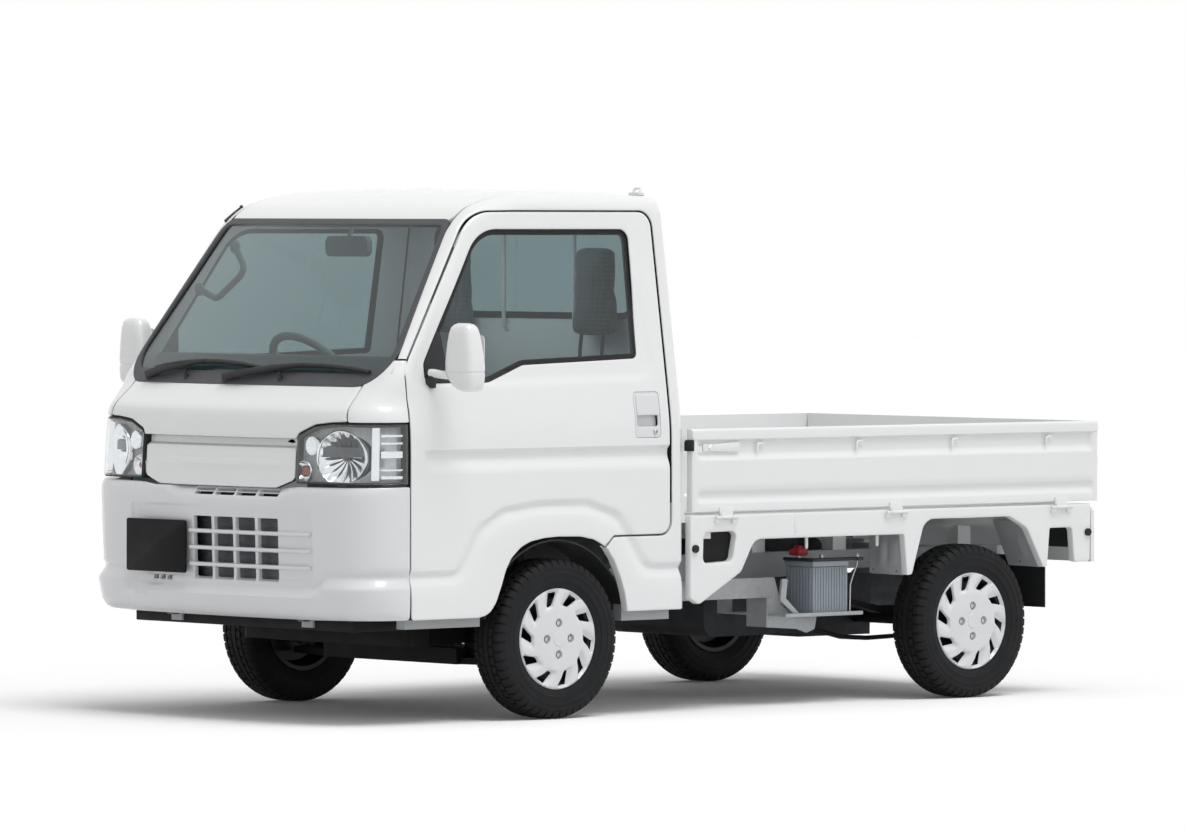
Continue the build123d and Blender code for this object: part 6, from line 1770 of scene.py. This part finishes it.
ROD_LINE = ((-0.612, 0.648, 0.506), (-0.612, 0.648, 0.470), (-0.590, 0.650, 0.430), (-0.578, 0.650, 0.400),
            (-0.576, 0.650, 0.312))
rod_nut = moved(turned([(0.0065, 0.0), (0.0065, 0.006), (0.0001, 0.006)], 6),
                Matrix.Translation((-0.612, 0.648, 0.494)))
terminal = turned([(0.010, 0.0), (0.0085, 0.016), (0.0001, 0.0165)], 20)
terminals = [moved(terminal, Matrix.Translation((x, 0.552, 0.484))) for x in (-0.430, -0.536)]
live_cap = joined(soft_box((-0.452, 0.528, 0.500), (-0.404, 0.580, 0.524), 0.008),
                  soft_box((-0.436, 0.540, 0.520), (-0.414, 0.568, 0.534), 0.005))
make_piece("ribbed_battery", "chassis",
           [(joined(case, lid, *case_ribs), "battery_case"), (hold_frame, "black_polypropylene"),
            (joined(tube(ROD_LINE, 0.0028, 8), rod_nut, *terminals), "zinc_plate"), (live_cap, "red_cap")],
           ["battery"])
tray_lip = soft_box((-0.622, 0.655, 0.298), (-0.262, 0.668, 0.311), 0.003)
STAY = ((-0.288, 0.428), (-0.262, 0.428), (-0.254, 0.356), (-0.326, 0.302), (-0.344, 0.308), (-0.280, 0.362))
tray_stay = standing(STAY, [0.004] * len(STAY), 0.640, 0.010)
side_rail = soft_box((-0.285, 0.545, 0.362), (0.225, 0.580, 0.432), 0.006)
BRACKET = ((-0.300, 0.432), (-0.268, 0.428), (-0.262, 0.262), (-0.405, 0.252), (-0.450, 0.238),
           (-0.488, 0.250), (-0.498, 0.299), (-0.380, 0.299), (-0.330, 0.340))
tray_bracket = standing(BRACKET, [0.006] * len(BRACKET), 0.566, 0.005)
bracket_fold = soft_box((-0.272, 0.470, 0.262), (-0.264, 0.570, 0.428), 0.002)
PIPE_LINE = ((-0.60, 0.270), (-0.655, 0.234), (-0.769, 0.208), (-0.896, 0.200), (-1.037, 0.203),
             (-1.11, 0.235))
pipe = tube([(x, 0.40, z) for x, z in PIPE_LINE], 0.008, 10)
bracket = joined(tray_lip, tray_stay, tray_bracket, bracket_fold, side_rail)
make_piece("battery_tray_bracket", "chassis", [(bracket, "galvanised_steel")])
make_piece("underfloor_pipe", "chassis", [(pipe, "chassis_black")])

# %% [markdown]
# Behind the grille sits the core of the radiator: flat tubes with fins, dark and dull. The fins are real
# strips, because a striped texture has no depth. Black sheets close the narrow slots above and beside it;
# they are painted shade, standing in for the shadow inside the slots.

# %% Radiator fins and painted shade behind the slots
core_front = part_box("radiator")[1].x
FIN_COUNT = 36
FIN_HALF = 0.0016
fins = [soft_box((core_front - 0.004, -0.20, z - FIN_HALF), (core_front + 0.005, 0.40, z + FIN_HALF), 0.0006)
        for z in np.linspace(0.440, 0.672, FIN_COUNT)]
make_piece("radiator_fins", "chassis", [(joined(*fins), "radiator_core")])
# Painted shade: black sheets just behind the slots stand in for the shadow inside them.
SHADE_SLOT_BACKS = (((-0.115, 0.735), (0.330, 0.7625), 0.0235), ((-0.345, 0.446), (-0.212, 0.470), 0.0300))
shade_slot_backs = []
for low, high, depth in SHADE_SLOT_BACKS:
    shade_slot_backs.append(skin_panel([box_loop(low, high, 0.003, 0.02)], chart_front, bumper_form, 0.03,
                                 roll=0.001, wall=depth + 0.0025, relief=-depth))
slot_bar = tube([on_bumper(y, 0.7495, -0.004) for y in np.linspace(-0.108, 0.320, 16)], 0.0022, 8)
make_piece("painted_shade_slot_backing", "chassis",
           [(joined(*shade_slot_backs), "chassis_black"), (slot_bar, "white_moulding")])

# %% [markdown]
# The seats are padded, so they are inflated as cloth: a slightly smaller form is remeshed, blown up a little
# with gravity off, and the result is kept. The sewn seams are pressed in afterwards on a finer mesh.

# %% Seats
PAD_PRESSURE = 4.0
PAD_FRAMES = 20
SEAT_Y = 0.366


def baked_mesh(piece):
    """Mesh of a piece with its modifiers applied."""
    return bpy.data.meshes.new_from_object(piece.evaluated_get(bpy.context.evaluated_depsgraph_get()))


def mesh_points(mesh):
    """Points of a mesh as rows."""
    flat = np.empty(3 * len(mesh.vertices))
    mesh.vertices.foreach_get("co", flat)
    return flat.reshape(-1, 3)


def blown_pad(chunk, voxel, cap, floor_z):
    """Closed form blown up as cloth, no point moving further than cap nor below floor_z."""
    mesh = bpy.data.meshes.new("pad")
    mesh.from_pydata([tuple(p) for p in chunk[0]], [], chunk[1])
    pad = bpy.data.objects.new("pad", mesh)
    bpy.context.scene.collection.objects.link(pad)
    remesh = pad.modifiers.new("even_mesh", "REMESH")
    remesh.mode = "VOXEL"
    remesh.voxel_size = voxel
    pad.data = baked_mesh(pad)
    pad.modifiers.clear()
    start = mesh_points(pad.data)
    cloth = pad.modifiers.new("blown_cloth", "CLOTH")
    cloth.settings.use_pressure = True
    cloth.settings.uniform_pressure_force = PAD_PRESSURE
    cloth.settings.effector_weights.gravity = 0
    cloth.point_cache.frame_end = PAD_FRAMES
    for step in range(1, PAD_FRAMES + 1):
        bpy.context.scene.frame_set(step)
    move = mesh_points(baked_mesh(pad)) - start
    length = np.maximum(np.linalg.norm(move, axis=1, keepdims=True), 1e-9)
    start = start + move * np.minimum(1, cap / length)
    start[:, 2] = np.maximum(start[:, 2], floor_z)
    pad.modifiers.clear()
    bpy.context.scene.frame_set(1)
    pad.data.vertices.foreach_set("co", start.ravel())
    pad.data.update()
    calm = pad.modifiers.new("calm", "SMOOTH")
    calm.iterations = 8
    finer = pad.modifiers.new("finer", "SUBSURF")
    finer.levels = 1
    mesh = baked_mesh(pad)
    bpy.data.objects.remove(pad)
    normals = np.empty(3 * len(mesh.vertices))
    mesh.vertices.foreach_get("normal", normals)
    return mesh_points(mesh), [tuple(f.vertices) for f in mesh.polygons], normals.reshape(-1, 3)


def sewn(pad, lines, depth=0.006, reach=0.010):
    """Pad with seams pressed in where any of the lines, functions of its points, is near zero."""
    points, faces, normals = pad
    near = np.min([np.abs(line(points)) for line in lines], axis=0)
    return points - normals * (depth * smooth_step((reach - near) / reach))[:, None], faces


def seat_lean(z):
    """X of the rear face of the seat back at height z."""
    return 0.374 - 0.1307 * (z - 0.70)


def unpacked(chunk):
    """X, Y and Z of a chunk's points, and its faces."""
    return chunk[0].T, chunk[1]


cushion_low, cushion_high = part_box("seat_cushions")
cushion = soft_box((cushion_low.x + 0.012, SEAT_Y - 0.212, cushion_low.z),
                   (cushion_high.x - 0.012, SEAT_Y + 0.212, cushion_high.z - 0.014), 0.035)
cushion = blown_pad(cushion, 0.010, 0.022, cushion_low.z + 0.001)
cushion = sewn(cushion, [lambda p: np.abs(p[:, 1] - SEAT_Y) - 0.135, lambda p: p[:, 0] - 0.52])
(x, y, z), back_faces = unpacked(soft_box((0.010, -0.198, 0.800), (0.086, 0.198, 1.190), 0.034))
shoulder = 1 - 0.16 * smooth_step((z - 0.98) / 0.21)
back = np.stack([x + seat_lean(z), SEAT_Y + y * shoulder, z], 1), back_faces
back = blown_pad(back, 0.009, 0.022, 0.790)
back = sewn(back, [lambda p: np.abs(p[:, 1] - SEAT_Y) - 0.130, lambda p: p[:, 2] - 0.985])
(x, y, z), rest_faces = unpacked(soft_box((0.298, -0.098, 1.246), (0.368, 0.098, 1.546), 0.032))
narrow = 1 - 0.20 * smooth_step((z - 1.34) / 0.20)
rest = np.stack([x, SEAT_Y + y * narrow, z], 1), rest_faces
rest = blown_pad(rest, 0.007, 0.022, 1.236)
rest = sewn(rest, [lambda p: p[:, 0] - 0.333], 0.003, 0.006)
POST_LINE = ((0.352, 1.150), (0.352, 1.20), (0.340, 1.29))
rest_posts = [tube([(x, SEAT_Y + y, z) for x, z in POST_LINE], 0.0062, 12) for y in (-0.055, 0.055)]
PADS = (("seat_cushion_{}", cushion, "seat_cushions", 0.75), ("seat_back_{}", back, "seat_backs", 0.7),
        ("head_rest_{}", rest, "headrests", 0.85))
for pad_name, chunk, node, fill in PADS:
    for pad in make_pair(pad_name, "chassis", [(chunk, "seat_tricot")], [node], 180):
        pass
make_pair("rest_posts_{}", "chassis", [(joined(*rest_posts), "black_polypropylene")])

# %% [markdown]
# A few small pieces finish the truck: bars inside the rear window, its rubber, the grab handle on the screen
# pillar, the rod aerial, the rope hooks on the roof, the tail lamps and the corner rubbers of the gates.
# Bent bars are tubes along a rounded line, which needs fewer values than a curve with handles.

# %% Small pieces
REAR_BARS = (-0.136, 0.221)
BAR_LINE = ((0.284, 1.272), (0.294, 1.276), (0.298, 1.286), (0.298, 1.624), (0.294, 1.634), (0.284, 1.638))
bars = [tube([(x, y, z) for x, z in BAR_LINE], 0.0075, 12) for y in REAR_BARS]
bar_feet = [soft_box((0.281, y - 0.014, z - 0.012), (0.2875, y + 0.014, z + 0.012), 0.002)
            for y in REAR_BARS for z in (1.272, 1.638)]
make_piece("rear_window_bars", "chassis", [(joined(*bars, *bar_feet), "white_enamel")])
GRAB_BENDS = ((-0.462, 1.540), (-0.366, 1.462), (-0.470, 1.366), (-0.575, 1.398))


def on_pillar(y, z):
    """Point on the slope of the screen pillar's inner trim."""
    return 1.262 - 0.42 * (z - 1.40), y, z


grab_line = rounded_path(GRAB_BENDS, [0, 0.03, 0.03, 0], 0.02, False)
grab_foot = moved(turned([(0.022, -0.004), (0.021, 0.006), (0.012, 0.013), (0.0001, 0.014)], 20),
                  Matrix.Rotation(math.pi / 2, 4, "Y"))
grab_feet = [moved(grab_foot, Matrix.Translation(on_pillar(y, z))) for y,
             z in (GRAB_BENDS[0], GRAB_BENDS[-1])]
grab_handle = joined(tube([on_pillar(y, z) for y, z in grab_line], 0.011, 12), *grab_feet)
make_piece("grab_handle", "chassis", [(grab_handle, "pale_trim")])
AERIAL_Y = -0.583
aerial_rod = tube([(x, AERIAL_Y, z) for x, z in ((1.150, 1.628), (1.118, 1.652), (1.080, 1.676))],
                  [0.0055, 0.004, 0.0035], 10)
aerial_knob = turned([(0.0001, -0.006), (0.005, -0.004), (0.0065, 0.0), (0.005, 0.004), (0.0001, 0.006)], 14)
aerial = joined(aerial_rod, moved(aerial_knob, Matrix.Translation((1.080, AERIAL_Y, 1.677))))
make_piece("rod_aerial", "chassis", [(aerial, "black_polypropylene")])
HOOK_BENDS = ((0.300, 0.517, 1.722), (0.292, 0.517, 1.740), (0.292, 0.549, 1.740), (0.300, 0.549, 1.722))
hook_path = rounded_path(HOOK_BENDS, [0, 0.008, 0.008, 0], 0.004, False)
roof_hook = joined(tube(hook_path, 0.0042, 10), soft_box((0.286, 0.508, 1.716), (0.312, 0.558, 1.727), 0.002))
make_piece("roof_hooks", "chassis", [(joined(roof_hook, mirrored(roof_hook)), "white_enamel")])
window_low, window_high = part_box("rear_window")
chart_rear = flat_chart(1, 2, 0.5, (-1.0, 0.0, 0.0))
REAR_LOOP = box_loop((window_low.y, window_low.z), (window_high.y, window_high.z), 0.05, 0.012)
rear_rubber = skin_panel([shrunk(REAR_LOOP, -0.010), shrunk(REAR_LOOP, 0.012)], chart_rear,
                         lambda p: CAB_REAR - 0.004 - p[:, 0], 0.05, roll=0.004, wall=0.036)
make_piece("rear_window_rubber", "chassis", [(rear_rubber, "black_seal")])
lamp_low, lamp_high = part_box("tail_lamps")
TAIL_WIDTH = 0.1996
LENS_INSET = 0.004
tail_inner = lamp_high.y - TAIL_WIDTH
tail_lens = soft_box((lamp_low.x, tail_inner + LENS_INSET, lamp_low.z + LENS_INSET),
                     (lamp_low.x + 0.014, lamp_high.y - LENS_INSET, lamp_high.z - LENS_INSET), 0.005)
tail_box = soft_box((lamp_low.x + 0.010, tail_inner, lamp_low.z), tuple(lamp_high), 0.004)
make_pair("tail_lamp_{}", "chassis",
          [(tail_lens, "red_lens"), (tail_box, "black_polypropylene")], ["tail_lamps"])
corner_rubber = soft_box((GATE_FRONT - 0.004, 0.700, 0.868), (GATE_FRONT + 0.010, 0.7385, 0.906), 0.004)
make_pair("gate_corner_rubber_{}", "gate_{}", [(corner_rubber, "black_seal")])
